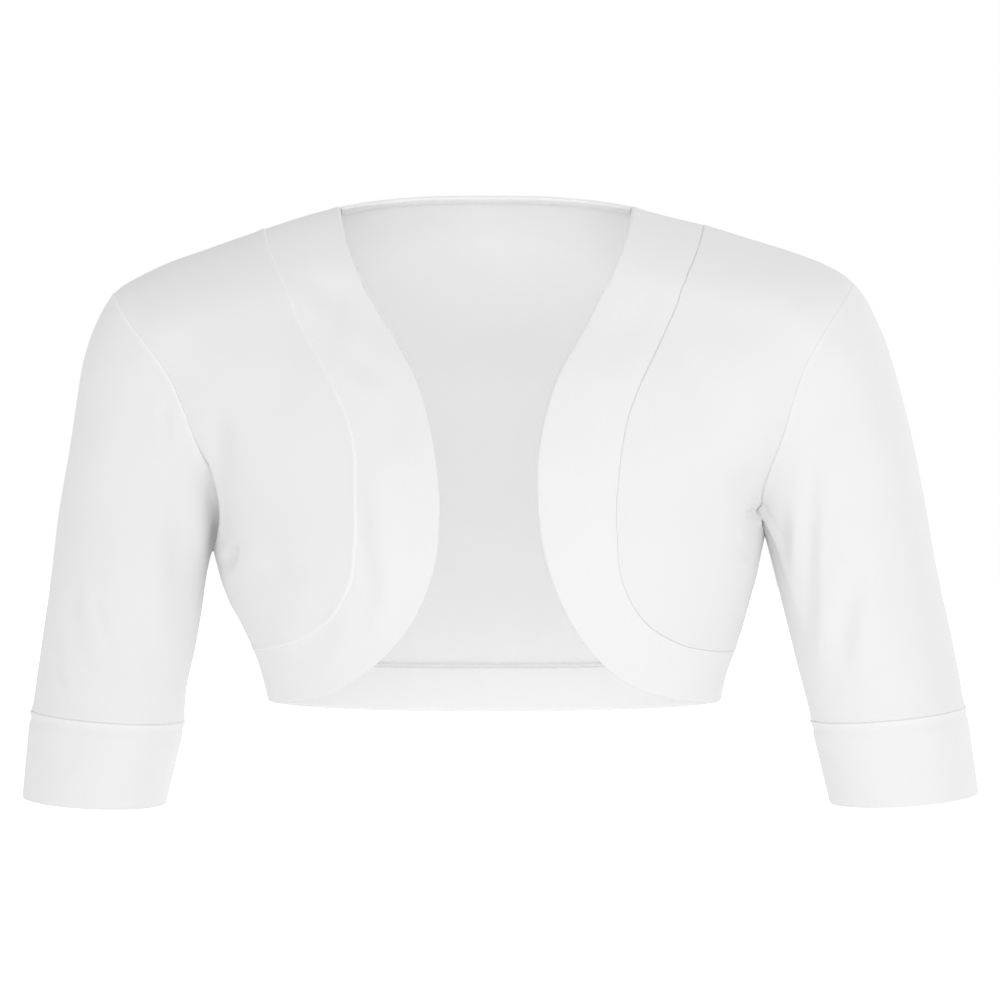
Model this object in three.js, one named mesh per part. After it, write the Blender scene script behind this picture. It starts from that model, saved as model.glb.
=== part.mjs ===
// A short open bolero jacket in jersey, with half sleeves, wide front bands and folded cuffs.
// It keeps the hollow form that it has when worn. Millimetres, +Z up, the front faces -Y and
// the wearer's left is at +X. The origin lies midway between the shoulders, on the side seams'
// plane, at about the height of the middle of each shoulder.

import * as THREE from 'three';

// Cloth: one layer, two layers, the gap at each seam, and how far a wall may lengthen where it
// turns at a seam
const JERSEY = 1.2;
const FOLDED = 2.4;
const SEAM_GAP = 0.3;
const SHARPEST_MITRE = 2.5;

// Body form: how full its cross-section is, and how far down the roll over the shoulder reaches
const FULLNESS = 2.2;
const SHOULDER_ROLL = 45;
const BODY_DEPTH = [
  { z: -275, front: 77, back: 67 },
  { z: -240, front: 87, back: 71 },
  { z: -200, front: 101, back: 77 },
  { z: -165, front: 107, back: 83 },
  { z: -130, front: 105, back: 88 },
  { z: -80, front: 90, back: 90 },
  { z: -40, front: 67, back: 76 },
  { z: 0, front: 46, back: 62 },
  { z: 35, front: 30, back: 48 },
];

// Neck and hem. The turned edge of the back neck takes a share of the back's first row.
const NECK_HALF = 83.5;
const NECK_SIDE_Z = 25;
const NECK_BACK_RISE = 8;
const NECK_CURVE = 3;
const HEM_SIDE_Z = -257.6;
const HEM_BACK_DROP = 8;
const HEM_HEIGHT = 25;
const BAND_END_Z = -228;
const NECK_HEM_CLOTH = 1.0;
const NECK_HEM_SHARE = 0.55;

// Armholes: how far each reaches in front of the shoulder seam and behind it, how much the
// front is scooped out towards the underarm, the largest share of the body's depth that an
// armhole takes, and how near to the shoulder tip its height is read
const ARMHOLE_FRONT = 52;
const ARMHOLE_BACK = 58;
const ARMHOLE_SCOOP = 0.35;
const ARMHOLE_DEEPEST = 0.97;
const TIP_CLEARANCE = 1;

// Sleeves: half their depth at the armhole comes from it, and lower down from here. The rings
// lean forwards, in degrees, and the sleeve swings back a little towards the elbow.
const SLEEVE_DEPTH = 49;
const SLEEVE_LEAN = 3.2;
const SLEEVE_SET_BACK = 5;
const CUFF_SET_BACK = 6.5;

// Main folds are soft troughs. Each runs from one place to another as seen from the front or
// the back, x outwards and z up, and its depth fades to nothing at both ends.

// The wearer's right side, at -X. Distances in x are measured outwards from the middle. The
// back's columns at this side's seam, and beside it, are edge and beside.
const RIGHT = {
  name: 'right',
  sign: -1,
  edge: 0,
  beside: 1,
  armholeTop: -24.5,
  armholeBottom: -168.2,
  shoulder: [
    { x: 0, z: 53 },
    { x: 45, z: 47 },
    { x: NECK_HALF, z: NECK_SIDE_Z },
    { x: 101, z: 20 },
    { x: 122.5, z: 13.1 },
    { x: 142.5, z: 6.3 },
    { x: 162, z: -0.6 },
    { x: 181, z: -7.4 },
    { x: 195.5, z: -14.2 },
    { x: 207, z: -20.6 },
    { x: 211.5, z: -24.5 },
  ],
  side: [
    { z: -266, x: 121 },
    { z: -258, x: 123.4 },
    { z: -233, x: 130.5 },
    { z: -213, x: 139.5 },
    { z: -199, x: 147 },
    { z: -178, x: 153.6 },
    { z: -168.2, x: 155.6 },
    { z: -145, x: 156 },
    { z: -127.7, x: 158.5 },
    { z: -106.6, x: 164.8 },
    { z: -90, x: 170.6 },
    { z: -74, x: 177.7 },
    { z: -61, x: 186.2 },
    { z: -48.5, x: 196 },
    { z: -37.6, x: 204.2 },
    { z: -24.5, x: 211.5 },
  ],
  bandEdge: [
    { x: 79.7, z: 6.3 },
    { x: 64.8, z: -28.7 },
    { x: 53.5, z: -47 },
    { x: 36.8, z: -79.3 },
    { x: 27.7, z: -118.2 },
    { x: 25.4, z: -152.4 },
    { x: 28.2, z: -180 },
    { x: 41.1, z: -211.5 },
    { x: 61.6, z: -234.6 },
    { x: 87.6, z: -251.3 },
    { x: 106, z: -255.6 },
  ],
  bandSeam: [
    { x: 120.2, z: -4 },
    { x: 104.9, z: -40.3 },
    { x: 86.5, z: -73.8 },
    { x: 74.6, z: -102.3 },
    { x: 71.6, z: -142.5 },
    { x: 71.9, z: -167.4 },
    { x: 74.5, z: -188.4 },
    { x: 84, z: -206.5 },
    { x: 103, z: -220.5 },
    { x: 117, z: -225.2 },
  ],
  bandTop: 125.8,
  sleeveOuter: [
    { x: 211.5, z: -24.5 },
    { x: 216, z: -30.5 },
    { x: 223, z: -44 },
    { x: 229, z: -62 },
    { x: 233, z: -85 },
    { x: 237, z: -113 },
    { x: 243.5, z: -150 },
    { x: 247.8, z: -186 },
    { x: 252.5, z: -218 },
    { x: 258.8, z: -262 },
  ],
  sleeveInner: [
    { x: 155.6, z: -168.2 },
    { x: 159, z: -183 },
    { x: 162, z: -205 },
    { x: 166, z: -228 },
    { x: 170.5, z: -248 },
    { x: 172.5, z: -268.5 },
  ],
  cuffOuter: { x: 263.5, z: -312 },
  cuffInner: { x: 184, z: -316 },
  sleeveFolds: [
    { face: 'front', x1: 242, z1: -176, x2: 226, z2: -252, width: 10, depth: 3.2 },
    { face: 'front', x1: 232, z1: -192, x2: 203, z2: -254, width: 9, depth: 2.6 },
    { face: 'front', x1: 176, z1: -118, x2: 174, z2: -236, width: 8, depth: 2.4 },
    { face: 'back', x1: 236, z1: -150, x2: 214, z2: -232, width: 11, depth: 3 },
    { face: 'back', x1: 205, z1: -120, x2: 186, z2: -210, width: 10, depth: 2.6 },
  ],
  bodyFolds: [
    { face: 'front', x1: 153, z1: -80, x2: 149, z2: -146, width: 8, depth: 2.6 },
    { face: 'front', x1: 161, z1: -116, x2: 146, z2: -196, width: 9, depth: 8 },
    { face: 'back', x1: 150, z1: -70, x2: 120, z2: -150, width: 12, depth: 2.4 },
  ],
};

// The wearer's left side, at +X
const LEFT = {
  name: 'left',
  sign: 1,
  edge: -1,
  beside: -2,
  armholeTop: -18.8,
  armholeBottom: -162,
  shoulder: [
    { x: 0, z: 53 },
    { x: 45, z: 47 },
    { x: NECK_HALF, z: NECK_SIDE_Z },
    { x: 98.6, z: 20.4 },
    { x: 128.3, z: 13.1 },
    { x: 150.5, z: 6.3 },
    { x: 174, z: -1 },
    { x: 192, z: -7.8 },
    { x: 203.5, z: -14 },
    { x: 209.2, z: -18.8 },
  ],
  side: [
    { z: -266, x: 130.5 },
    { z: -257.6, x: 133.2 },
    { z: -240, x: 137.6 },
    { z: -226, x: 142.6 },
    { z: -212, x: 147 },
    { z: -199, x: 150.6 },
    { z: -184, x: 154.4 },
    { z: -172, x: 157 },
    { z: -162, x: 159 },
    { z: -145, x: 159.6 },
    { z: -120.8, x: 162.8 },
    { z: -106.6, x: 167.2 },
    { z: -91.8, x: 171.6 },
    { z: -74, x: 177.1 },
    { z: -57.6, x: 184.8 },
    { z: -41, x: 195.2 },
    { z: -28.5, x: 203.6 },
    { z: -18.8, x: 209.2 },
  ],
  bandEdge: [
    { x: 79.9, z: 8.1 },
    { x: 66.9, z: -23.2 },
    { x: 57.5, z: -41.5 },
    { x: 39.8, z: -73.9 },
    { x: 30.6, z: -105.9 },
    { x: 28.6, z: -142.5 },
    { x: 31, z: -166 },
    { x: 39.8, z: -195.4 },
    { x: 55.8, z: -223.9 },
    { x: 79, z: -245.4 },
    { x: 106, z: -254.5 },
    { x: 121, z: -256.9 },
  ],
  bandSeam: [
    { x: 120.5, z: 2 },
    { x: 108, z: -30.5 },
    { x: 93.2, z: -63.1 },
    { x: 79.5, z: -95.2 },
    { x: 74.1, z: -125.9 },
    { x: 72.6, z: -160.1 },
    { x: 76.4, z: -190.1 },
    { x: 90, z: -212 },
    { x: 110, z: -223.8 },
    { x: 128, z: -227.6 },
  ],
  bandTop: 123.9,
  sleeveOuter: [
    { x: 209.2, z: -18.8 },
    { x: 214.5, z: -25 },
    { x: 223, z: -41 },
    { x: 229, z: -56 },
    { x: 235, z: -76 },
    { x: 242, z: -104 },
    { x: 250.2, z: -144 },
    { x: 257.6, z: -185 },
    { x: 264, z: -212.6 },
    { x: 269.6, z: -240 },
    { x: 273, z: -260 },
  ],
  sleeveInner: [
    { x: 159, z: -162 },
    { x: 163, z: -178 },
    { x: 169.9, z: -205.8 },
    { x: 176.7, z: -233 },
    { x: 183, z: -257 },
    { x: 186, z: -268 },
  ],
  cuffOuter: { x: 280, z: -309.5 },
  cuffInner: { x: 197.5, z: -315.5 },
  sleeveFolds: [
    { face: 'front', x1: 187, z1: -112, x2: 186, z2: -240, width: 11, depth: 3.4 },
    { face: 'front', x1: 216, z1: -172, x2: 203, z2: -258, width: 9, depth: 2.8 },
    { face: 'back', x1: 240, z1: -140, x2: 222, z2: -238, width: 11, depth: 3 },
    { face: 'back', x1: 206, z1: -116, x2: 194, z2: -212, width: 10, depth: 2.6 },
  ],
  bodyFolds: [
    { face: 'front', x1: 152, z1: -112, x2: 144, z2: -158, width: 8, depth: 1.8 },
    { face: 'front', x1: 165, z1: -112, x2: 152, z2: -188, width: 8, depth: 7 },
    { face: 'back', x1: 148, z1: -66, x2: 122, z2: -146, width: 12, depth: 2.4 },
  ],
};

// How finely each stretch of cloth is divided, and the share of the front band's length that
// lies above the underarm
const ARMHOLE_ROWS = 16;
const SIDE_ROWS = 6;
const FRONT_COLUMNS = 8;
const BAND_COLUMNS = 4;
const NECK_COLUMNS = 12;
const SLEEVE_ROWS = 16;
const CUFF_ROWS = 3;
const HEM_ROWS = 2;
const BODY_ROWS = ARMHOLE_ROWS + SIDE_ROWS;
const HALF_BACK = FRONT_COLUMNS + BAND_COLUMNS;
const BAND_SHARE_AT_ARMPIT = 0.68;

// How fast the lines drawn to the shoulder, the neck and the armhole straighten out away from
// them, as powers of the way that is left
const FRONT_FADE = 2;
const BAND_FADE = 4;
const BACK_FADE = 2;
const SLEEVE_FADE = 3;

const GRADIENT_STEP = 0.02;
const SURFACE_STEP = 1e-3;
const TINY = 1e-6;
const { clamp, lerp, degToRad } = THREE.MathUtils;

// A smooth function through the rows of a table, level where the rows turn back.
function through(rows, along, across) {
  const xs = rows.map((row) => row[along]);
  const ys = rows.map((row) => row[across]);
  const last = xs.length - 1;
  const slopes = xs.slice(1).map((x, i) => (ys[i + 1] - ys[i]) / (x - xs[i]));
  const tangents = ys.map((_, i) => {
    if (i === 0) return slopes[0];
    if (i === last) return slopes[last - 1];
    const product = slopes[i - 1] * slopes[i];
    return product <= 0 ? 0 : (2 * product) / (slopes[i - 1] + slopes[i]);
  });
  return (x) => {
    let i = 0;
    while (i < last - 1 && x > xs[i + 1]) i += 1;
    const width = xs[i + 1] - xs[i];
    const u = clamp((x - xs[i]) / width, 0, 1);
    return hermite(ys[i], ys[i + 1], tangents[i] * width, tangents[i + 1] * width, u);
  };
}

function hermite(a, b, slopeA, slopeB, u) {
  const u2 = u * u;
  const u3 = u2 * u;
  const start = (2 * u3 - 3 * u2 + 1) * a + (u3 - 2 * u2 + u) * slopeA;
  return start + (3 * u2 - 2 * u3) * b + (u3 - u2) * slopeB;
}

// A smooth path through points in a plane, read by the share of its length, from 0 to 1.
function pathThrough(points) {
  const reach = [0];
  for (let i = 1; i < points.length; i += 1) {
    reach.push(reach[i - 1] + points[i].distanceTo(points[i - 1]));
  }
  const last = points.length - 1;
  const span = (i) => reach[i + 1] - reach[i];
  const slope = (i) => points[i + 1].clone().sub(points[i]).divideScalar(span(i));
  const tangents = points.map((_, i) => {
    if (i === 0) return slope(0);
    if (i === last) return slope(last - 1);
    const before = slope(i - 1).multiplyScalar(span(i));
    const after = slope(i).multiplyScalar(span(i - 1));
    return before.add(after).divideScalar(span(i - 1) + span(i));
  });
  return (share) => {
    const distance = clamp(share, 0, 1) * reach[last];
    let i = 0;
    while (i < last - 1 && distance > reach[i + 1]) i += 1;
    const width = span(i);
    const u = (distance - reach[i]) / width;
    const blend = (axis) => hermite(
      points[i][axis],
      points[i + 1][axis],
      tangents[i][axis] * width,
      tangents[i + 1][axis] * width,
      u,
    );
    return new THREE.Vector2(blend('x'), blend('y'));
  };
}

// Body form. A place on it is an angle round the body and a height: 0 is the middle of the
// front, 90 degrees the wearer's left side seam, 180 the middle of the back.

const frontDepth = through(BODY_DEPTH, 'z', 'front');
const backDepth = through(BODY_DEPTH, 'z', 'back');
for (const side of [RIGHT, LEFT]) {
  side.shoulderLine = through(side.shoulder, 'x', 'z');
  side.sideLine = through(side.side, 'z', 'x');
}

// The roll over the shoulder, squared: 0 on the shoulder line, 1 below its reach.
function rollSquared(drop) {
  return drop > SHOULDER_ROLL ? 1 : 1 - (1 - drop / SHOULDER_ROLL) ** 2;
}

function signedPower(value, power) {
  return Math.sign(value) * Math.abs(value) ** power;
}

// Height on the armhole at a turn round it: 0 at the shoulder, half a turn at the underarm.
function armholeHeight(side, turn) {
  return lerp(side.armholeBottom, side.armholeTop, (1 + Math.cos(turn)) / 2);
}

// How far the armhole lies in front of the shoulder seam, or behind it, at a height.
function armholeReach(side, isFront, z) {
  const down = (side.armholeTop - z) / (side.armholeTop - side.armholeBottom);
  const round = 2 * Math.sqrt(Math.max(0, down * (1 - down)));
  return isFront ? ARMHOLE_FRONT * round * (1 - ARMHOLE_SCOOP * down ** 2) : ARMHOLE_BACK * round;
}

// Half the width that the body form would have at a height, so that it runs down through the
// armhole seam where there is one and along the side seam below it.
function halfWidth(side, isFront, z) {
  if (z <= side.armholeBottom) return side.sideLine(z);
  const height = Math.min(z, side.armholeTop - TIP_CLEARANCE);
  const x = side.sideLine(height);
  const roll = Math.sqrt(rollSquared(side.shoulderLine(x) - height));
  const depth = isFront ? frontDepth(height) : backDepth(height);
  const reach = armholeReach(side, isFront, height);
  const share = Math.min(ARMHOLE_DEEPEST, reach / (depth * roll));
  return x / (1 - share ** FULLNESS) ** (1 / FULLNESS);
}

function sideOf(x) {
  return x < 0 ? RIGHT : LEFT;
}

function bodyAngle(x, z, isFront) {
  const share = Math.min(1, Math.abs(x) / halfWidth(sideOf(x), isFront, z));
  const angle = Math.asin(share ** (FULLNESS / 2));
  return isFront ? angle : Math.PI - angle;
}

function bodyPoint(side, angle, z) {
  const isFront = angle <= Math.PI / 2;
  const across = Math.abs(Math.sin(angle)) ** (2 / FULLNESS);
  const deep = Math.abs(Math.cos(angle)) ** (2 / FULLNESS);
  const x = halfWidth(side, isFront, z) * across;
  const roll = Math.sqrt(Math.max(0, rollSquared(side.shoulderLine(x) - z)));
  const depth = isFront ? -frontDepth(z) : backDepth(z);
  return new THREE.Vector3(side.sign * x, depth * deep * roll, z);
}

// Positive inside the body form, zero on it.
function bodyLevel(x, y, z, isFront) {
  const side = sideOf(x);
  const share = Math.abs(x) / halfWidth(side, isFront, z);
  const profile = signedPower(1 - share ** FULLNESS, 2 / FULLNESS);
  const depth = isFront ? frontDepth(z) : backDepth(z);
  return rollSquared(side.shoulderLine(Math.abs(x)) - z) * profile - (y / depth) ** 2;
}

function bodyNormal(point, isFront) {
  const { x, y, z } = point;
  const step = GRADIENT_STEP;
  return new THREE.Vector3(
    bodyLevel(x - step, y, z, isFront) - bodyLevel(x + step, y, z, isFront),
    bodyLevel(x, y - step, z, isFront) - bodyLevel(x, y + step, z, isFront),
    bodyLevel(x, y, z - step, isFront) - bodyLevel(x, y, z + step, isFront),
  ).normalize();
}

// How deep the folds are at a place, as seen from the front or the back.
function foldDepth(folds, face, x, z) {
  let depth = 0;
  for (const fold of folds.filter((candidate) => candidate.face === face)) {
    const start = new THREE.Vector2(fold.x1, fold.z1);
    const run = new THREE.Vector2(fold.x2, fold.z2).sub(start);
    const offset = new THREE.Vector2(Math.abs(x), z).sub(start);
    const along = offset.dot(run) / run.lengthSq();
    if (along > 0 && along < 1) {
      const beside = offset.cross(run) / run.length() / fold.width;
      depth += fold.depth * Math.sin(Math.PI * along) ** 2 * Math.exp(-beside * beside);
    }
  }
  return depth;
}

// One place in a piece of cloth: its outer point and the way out of the cloth there.
function bodyPlace(side, angle, z) {
  const isFront = angle <= Math.PI / 2;
  const point = bodyPoint(side, angle, z);
  const normal = bodyNormal(point, isFront);
  const face = isFront ? 'front' : 'back';
  const depth = Math.abs(normal.y) * foldDepth(side.bodyFolds, face, point.x, point.z);
  return { point: point.addScaledVector(normal, -depth), normal, stretch: 1 };
}

// Outlines in the flat of the body form: x is the angle in millimetres round, y the height.

const AROUND = 100;
const SIDE_SEAM = (Math.PI / 2) * AROUND;

function flat(x, z, isFront) {
  return new THREE.Vector2(bodyAngle(x, z, isFront) * AROUND, z);
}

// The free edge of a front band and the seam that joins it to the front, from shoulder to side.
function bandOutlines(side) {
  const place = ({ x, z }) => flat(side.sign * x, z, true);
  const edgeTop = flat(side.sign * NECK_HALF, NECK_SIDE_Z, true);
  const seamTop = flat(side.sign * side.bandTop, side.shoulderLine(side.bandTop), true);
  const edgeEnd = new THREE.Vector2(SIDE_SEAM, HEM_SIDE_Z);
  const seamEnd = new THREE.Vector2(SIDE_SEAM, BAND_END_Z);
  return {
    edge: pathThrough([edgeTop, ...side.bandEdge.map(place), edgeEnd]),
    seam: pathThrough([seamTop, ...side.bandSeam.map(place), seamEnd]),
  };
}

// The share of the band's length that a row of the fronts and bands reaches.
function bandShare(row) {
  if (row <= ARMHOLE_ROWS) {
    const turn = (row / ARMHOLE_ROWS) * (Math.PI / 2);
    return BAND_SHARE_AT_ARMPIT * (1 - Math.cos(turn));
  }
  return lerp(BAND_SHARE_AT_ARMPIT, 1, (row - ARMHOLE_ROWS) / SIDE_ROWS);
}

// The armhole seam and the side seam below it, row by row, on the front or the back.
function outerOutline(side, isFront, endZ, row) {
  if (row >= ARMHOLE_ROWS) {
    const z = lerp(side.armholeBottom, endZ, (row - ARMHOLE_ROWS) / SIDE_ROWS);
    return new THREE.Vector2(SIDE_SEAM, z);
  }
  const z = armholeHeight(side, (row / ARMHOLE_ROWS) * Math.PI);
  return flat(side.sign * side.sideLine(z), z, isFront);
}

// The places of one front, from the band seam out to the armhole and side seam. It narrows to
// one place where the band seam meets the side seam.
function frontGrid(side) {
  const { seam } = bandOutlines(side);
  const tip = side.sideLine(side.armholeTop);
  const grid = rowsOf(BODY_ROWS, FRONT_COLUMNS, (row, column) => {
    const across = column / FRONT_COLUMNS;
    const fade = (1 - row / BODY_ROWS) ** FRONT_FADE;
    const inner = seam(bandShare(row));
    const outer = outerOutline(side, true, BAND_END_Z, row);
    const shoulderX = lerp(side.bandTop, tip, across);
    const shoulder = flat(side.sign * shoulderX, side.shoulderLine(shoulderX), true);
    const straight = seam(0).lerp(outerOutline(side, true, BAND_END_Z, 0), across);
    const spot = inner.lerp(outer, across).add(shoulder.sub(straight).multiplyScalar(fade));
    return bodyPlace(side, spot.x / AROUND, spot.y);
  });
  grid[BODY_ROWS].fill(grid[BODY_ROWS][0]);
  return grid;
}

// The places of one front band, from its free edge to the seam that joins it to the front.
function bandGrid(side) {
  const { edge, seam } = bandOutlines(side);
  return rowsOf(BODY_ROWS, BAND_COLUMNS, (row, column) => {
    const across = column / BAND_COLUMNS;
    const fade = (1 - row / BODY_ROWS) ** BAND_FADE;
    const shoulderX = lerp(NECK_HALF, side.bandTop, across);
    const shoulder = flat(side.sign * shoulderX, side.shoulderLine(shoulderX), true);
    const straight = edge(0).lerp(seam(0), across);
    const spot = edge(bandShare(row)).lerp(seam(bandShare(row)), across);
    spot.add(shoulder.sub(straight).multiplyScalar(fade));
    return bodyPlace(side, spot.x / AROUND, spot.y);
  });
}

// The height of the back neck's edge.
function neckHeight(x) {
  const share = Math.min(1, Math.abs(x) / NECK_HALF);
  return NECK_SIDE_Z + NECK_BACK_RISE * (1 - share ** NECK_CURVE);
}

// The back's columns from one shoulder tip to the other, as signed distances from the middle.
function backColumns() {
  const columns = [];
  const half = (side) => {
    const tip = side.sideLine(side.armholeTop);
    const panel = steps(FRONT_COLUMNS).map((share) => lerp(tip, side.bandTop, share));
    const band = steps(BAND_COLUMNS).map((share) => lerp(side.bandTop, NECK_HALF, share));
    return [...panel.slice(0, -1), ...band.slice(0, -1)];
  };
  columns.push(...half(RIGHT).map((x) => -x));
  columns.push(...steps(NECK_COLUMNS).map((share) => -NECK_HALF * Math.cos(share * Math.PI)));
  columns.push(...half(LEFT).reverse());
  return columns;
}

// Signed angle in the flat of the back: negative on the wearer's right, 0 in the middle.
function backFlat(x, z) {
  const angle = Math.PI - bodyAngle(x, z, false);
  return new THREE.Vector2(Math.sign(x) * angle * AROUND, z);
}

function backPlace(spot) {
  const side = spot.x < 0 ? RIGHT : LEFT;
  return bodyPlace(side, Math.PI - Math.abs(spot.x) / AROUND, spot.y);
}

function backEdge(side, endZ, row) {
  const spot = outerOutline(side, false, endZ, row);
  return new THREE.Vector2(side.sign * (Math.PI * AROUND - spot.x), spot.y);
}

// The lower line of the back across its width, from one side seam to the other.
function hemDrop(share) {
  return HEM_BACK_DROP * Math.sin(share * Math.PI);
}

// The places of the back, from the wearer's right to the left.
function backGrid() {
  const columns = backColumns();
  const last = columns.length - 1;
  const endZ = HEM_SIDE_Z + HEM_HEIGHT;
  return rowsOf(BODY_ROWS, last, (row, column) => {
    const share = column / last;
    const down = row / BODY_ROWS;
    const x = columns[column];
    const side = sideOf(x);
    const isNeck = Math.abs(x) < NECK_HALF;
    const top = backFlat(x, isNeck ? neckHeight(x) : side.shoulderLine(Math.abs(x)));
    const straight = backEdge(RIGHT, endZ, 0).lerp(backEdge(LEFT, endZ, 0), share);
    const spot = backEdge(RIGHT, endZ, row).lerp(backEdge(LEFT, endZ, row), share);
    spot.add(top.sub(straight).multiplyScalar((1 - down) ** BACK_FADE));
    spot.y -= hemDrop(share) * down ** BACK_FADE;
    return backPlace(spot);
  });
}

// The places of the folded hem below the back.
function hemGrid() {
  const last = backColumns().length - 1;
  return rowsOf(HEM_ROWS, last, (row, column) => {
    const share = column / last;
    const z = HEM_SIDE_Z + HEM_HEIGHT * (1 - row / HEM_ROWS) - hemDrop(share);
    return backPlace(new THREE.Vector2(lerp(-SIDE_SEAM, SIDE_SEAM, share), z));
  });
}

// The turned edge inside the back neck: part of the back's own first row, moved in past its
// cloth. Every other column follows the diagonals of the back's faces, and the directions keep
// the length that the mixing gives them, so that the gap stays even.
function neckHemGrid(backRows) {
  const first = HALF_BACK + 1;
  const inset = JERSEY + SEAM_GAP;
  return rowsOf(1, 2 * (NECK_COLUMNS - 2), (row, column) => {
    const here = first + Math.floor(column / 2);
    const start = backRows[0][here];
    const end = backRows[row][here + (column % 2)];
    const point = start.point.clone().lerp(end.point, NECK_HEM_SHARE);
    const normal = start.normal.clone().lerp(end.normal, NECK_HEM_SHARE);
    return { point: point.addScaledVector(normal, -inset), normal, stretch: 1 };
  });
}

// Sleeves. A sleeve's rings turn from the armhole round to the cuff about the underarm. Turn 0
// is the outer side, a quarter the front, half the underarm and three quarters the back.

function armholePoint(side, turn) {
  const isFront = turn <= Math.PI;
  const z = armholeHeight(side, turn);
  return bodyPlace(side, bodyAngle(side.sign * side.sideLine(z), z, isFront), z).point;
}

function planar(rows) {
  return pathThrough(rows.map(({ x, z }) => new THREE.Vector2(x, z)));
}

function sleevePoint(side, turn, share) {
  const outer = side.outerPath(share);
  const inner = side.innerPath(share);
  const middle = outer.clone().add(inner).multiplyScalar(0.5);
  const half = outer.clone().sub(inner).multiplyScalar(0.5);
  const spot = middle.addScaledVector(half, Math.cos(turn));
  const start = armholePoint(side, turn);
  const top = side.outerPath(0);
  const bottom = side.innerPath(0);
  const lineX = lerp(bottom.x, top.x, (start.z - bottom.y) / (top.y - bottom.y));
  const fade = (1 - share) ** SLEEVE_FADE;
  const x = spot.x + (side.sign * start.x - lineX) * fade;
  const round = -SLEEVE_DEPTH * Math.sin(turn);
  const y = lerp(round, start.y, fade);
  const lean = Math.tan(degToRad(SLEEVE_LEAN)) * share;
  return new THREE.Vector3(
    side.sign * x,
    y + SLEEVE_SET_BACK * share * share,
    spot.y + lean * round,
  );
}

// The way out of a surface given by a function of two numbers, from its own slopes.
function surfaceNormal(surface, u, v, outwards) {
  const v1 = Math.min(1, v + SURFACE_STEP);
  const v0 = Math.max(0, v - SURFACE_STEP);
  const alongU = surface(u + SURFACE_STEP, v).sub(surface(u - SURFACE_STEP, v));
  const alongV = surface(u, v1).sub(surface(u, v0));
  return alongU.cross(alongV).normalize().multiplyScalar(outwards);
}

for (const side of [RIGHT, LEFT]) {
  side.outerPath = planar(side.sleeveOuter);
  side.innerPath = planar(side.sleeveInner);
}

// The places of one sleeve, from the armhole down to the cuff.
function sleeveGrid(side) {
  const surface = (turn, share) => sleevePoint(side, wrapTurn(turn), share);
  return rowsOf(SLEEVE_ROWS, 2 * ARMHOLE_ROWS - 1, (row, column) => {
    const turn = (column / ARMHOLE_ROWS) * Math.PI;
    const share = row / SLEEVE_ROWS;
    const normal = surfaceNormal(surface, turn, share, side.sign);
    const point = surface(turn, share);
    const face = turn <= Math.PI ? 'front' : 'back';
    const facing = Math.abs(Math.sin(turn));
    const depth = facing * foldDepth(side.sleeveFolds, face, point.x, point.z);
    return { point: point.addScaledVector(normal, -depth), normal, stretch: 1 };
  });
}

function wrapTurn(turn) {
  return THREE.MathUtils.euclideanModulo(turn, 2 * Math.PI);
}

// The places of one cuff, which goes on from the sleeve's last ring and stands a little proud.
function cuffGrid(side) {
  const outer = new THREE.Vector2(side.cuffOuter.x, side.cuffOuter.z);
  const inner = new THREE.Vector2(side.cuffInner.x, side.cuffInner.z);
  const lean = Math.tan(degToRad(SLEEVE_LEAN));
  const surface = (turn, share) => {
    const top = sleevePoint(side, wrapTurn(turn), 1);
    const middle = outer.clone().add(inner).multiplyScalar(0.5);
    const half = outer.clone().sub(inner).multiplyScalar(0.5);
    const spot = middle.addScaledVector(half, Math.cos(turn));
    const round = -SLEEVE_DEPTH * Math.sin(turn);
    const low = new THREE.Vector3(
      side.sign * spot.x,
      round + CUFF_SET_BACK,
      spot.y + lean * round,
    );
    return top.lerp(low, share);
  };
  return rowsOf(CUFF_ROWS, 2 * ARMHOLE_ROWS - 1, (row, column) => {
    const turn = (column / ARMHOLE_ROWS) * Math.PI;
    const share = row / CUFF_ROWS;
    const normal = surfaceNormal(surface, turn, share, side.sign);
    const point = surface(turn, share).addScaledVector(normal, FOLDED - JERSEY);
    return { point, normal, stretch: 1 };
  });
}

// Grids of places

function steps(count) {
  return Array.from({ length: count + 1 }, (_, i) => i / count);
}

function rowsOf(rows, columns, place) {
  const line = (row) => Array.from({ length: columns + 1 }, (_, column) => place(row, column));
  return Array.from({ length: rows + 1 }, (_, row) => line(row));
}

// Gives two pieces one shared direction through the cloth where they are sewn together, so
// that their edges stay parallel however sharply the cloth turns at the seam.
function mitre(first, second) {
  const sum = first.normal.clone().add(second.normal);
  const lean = sum.length() / 2;
  const normal = sum.normalize();
  const stretch = Math.min(SHARPEST_MITRE, 1 / Math.max(lean, TINY));
  for (const place of [first, second]) {
    place.normal = normal.clone();
    place.stretch = stretch;
  }
}

// The moves that draw a piece's edge back by half the seam gap, in the cloth's own surface.
function movesBack(edge, beside, closed = false) {
  const last = edge.length - 1;
  return edge.map((place, i) => {
    const before = edge[i > 0 ? i - 1 : closed ? last : 0].point;
    const after = edge[i < last ? i + 1 : closed ? 0 : last].point;
    const way = place.normal.clone().cross(after.clone().sub(before)).normalize();
    const near = beside[i] === place ? i - 1 : i;
    const inwards = beside[near].point.clone().sub(edge[near].point);
    const move = way.multiplyScalar(Math.sign(way.dot(inwards)) * SEAM_GAP / 2);
    return { place, move };
  });
}

const columnOf = (grid, column) => grid.map((row) => row.at(column));
const belowArmhole = (grid, column) => columnOf(grid, column).slice(ARMHOLE_ROWS);

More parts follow.
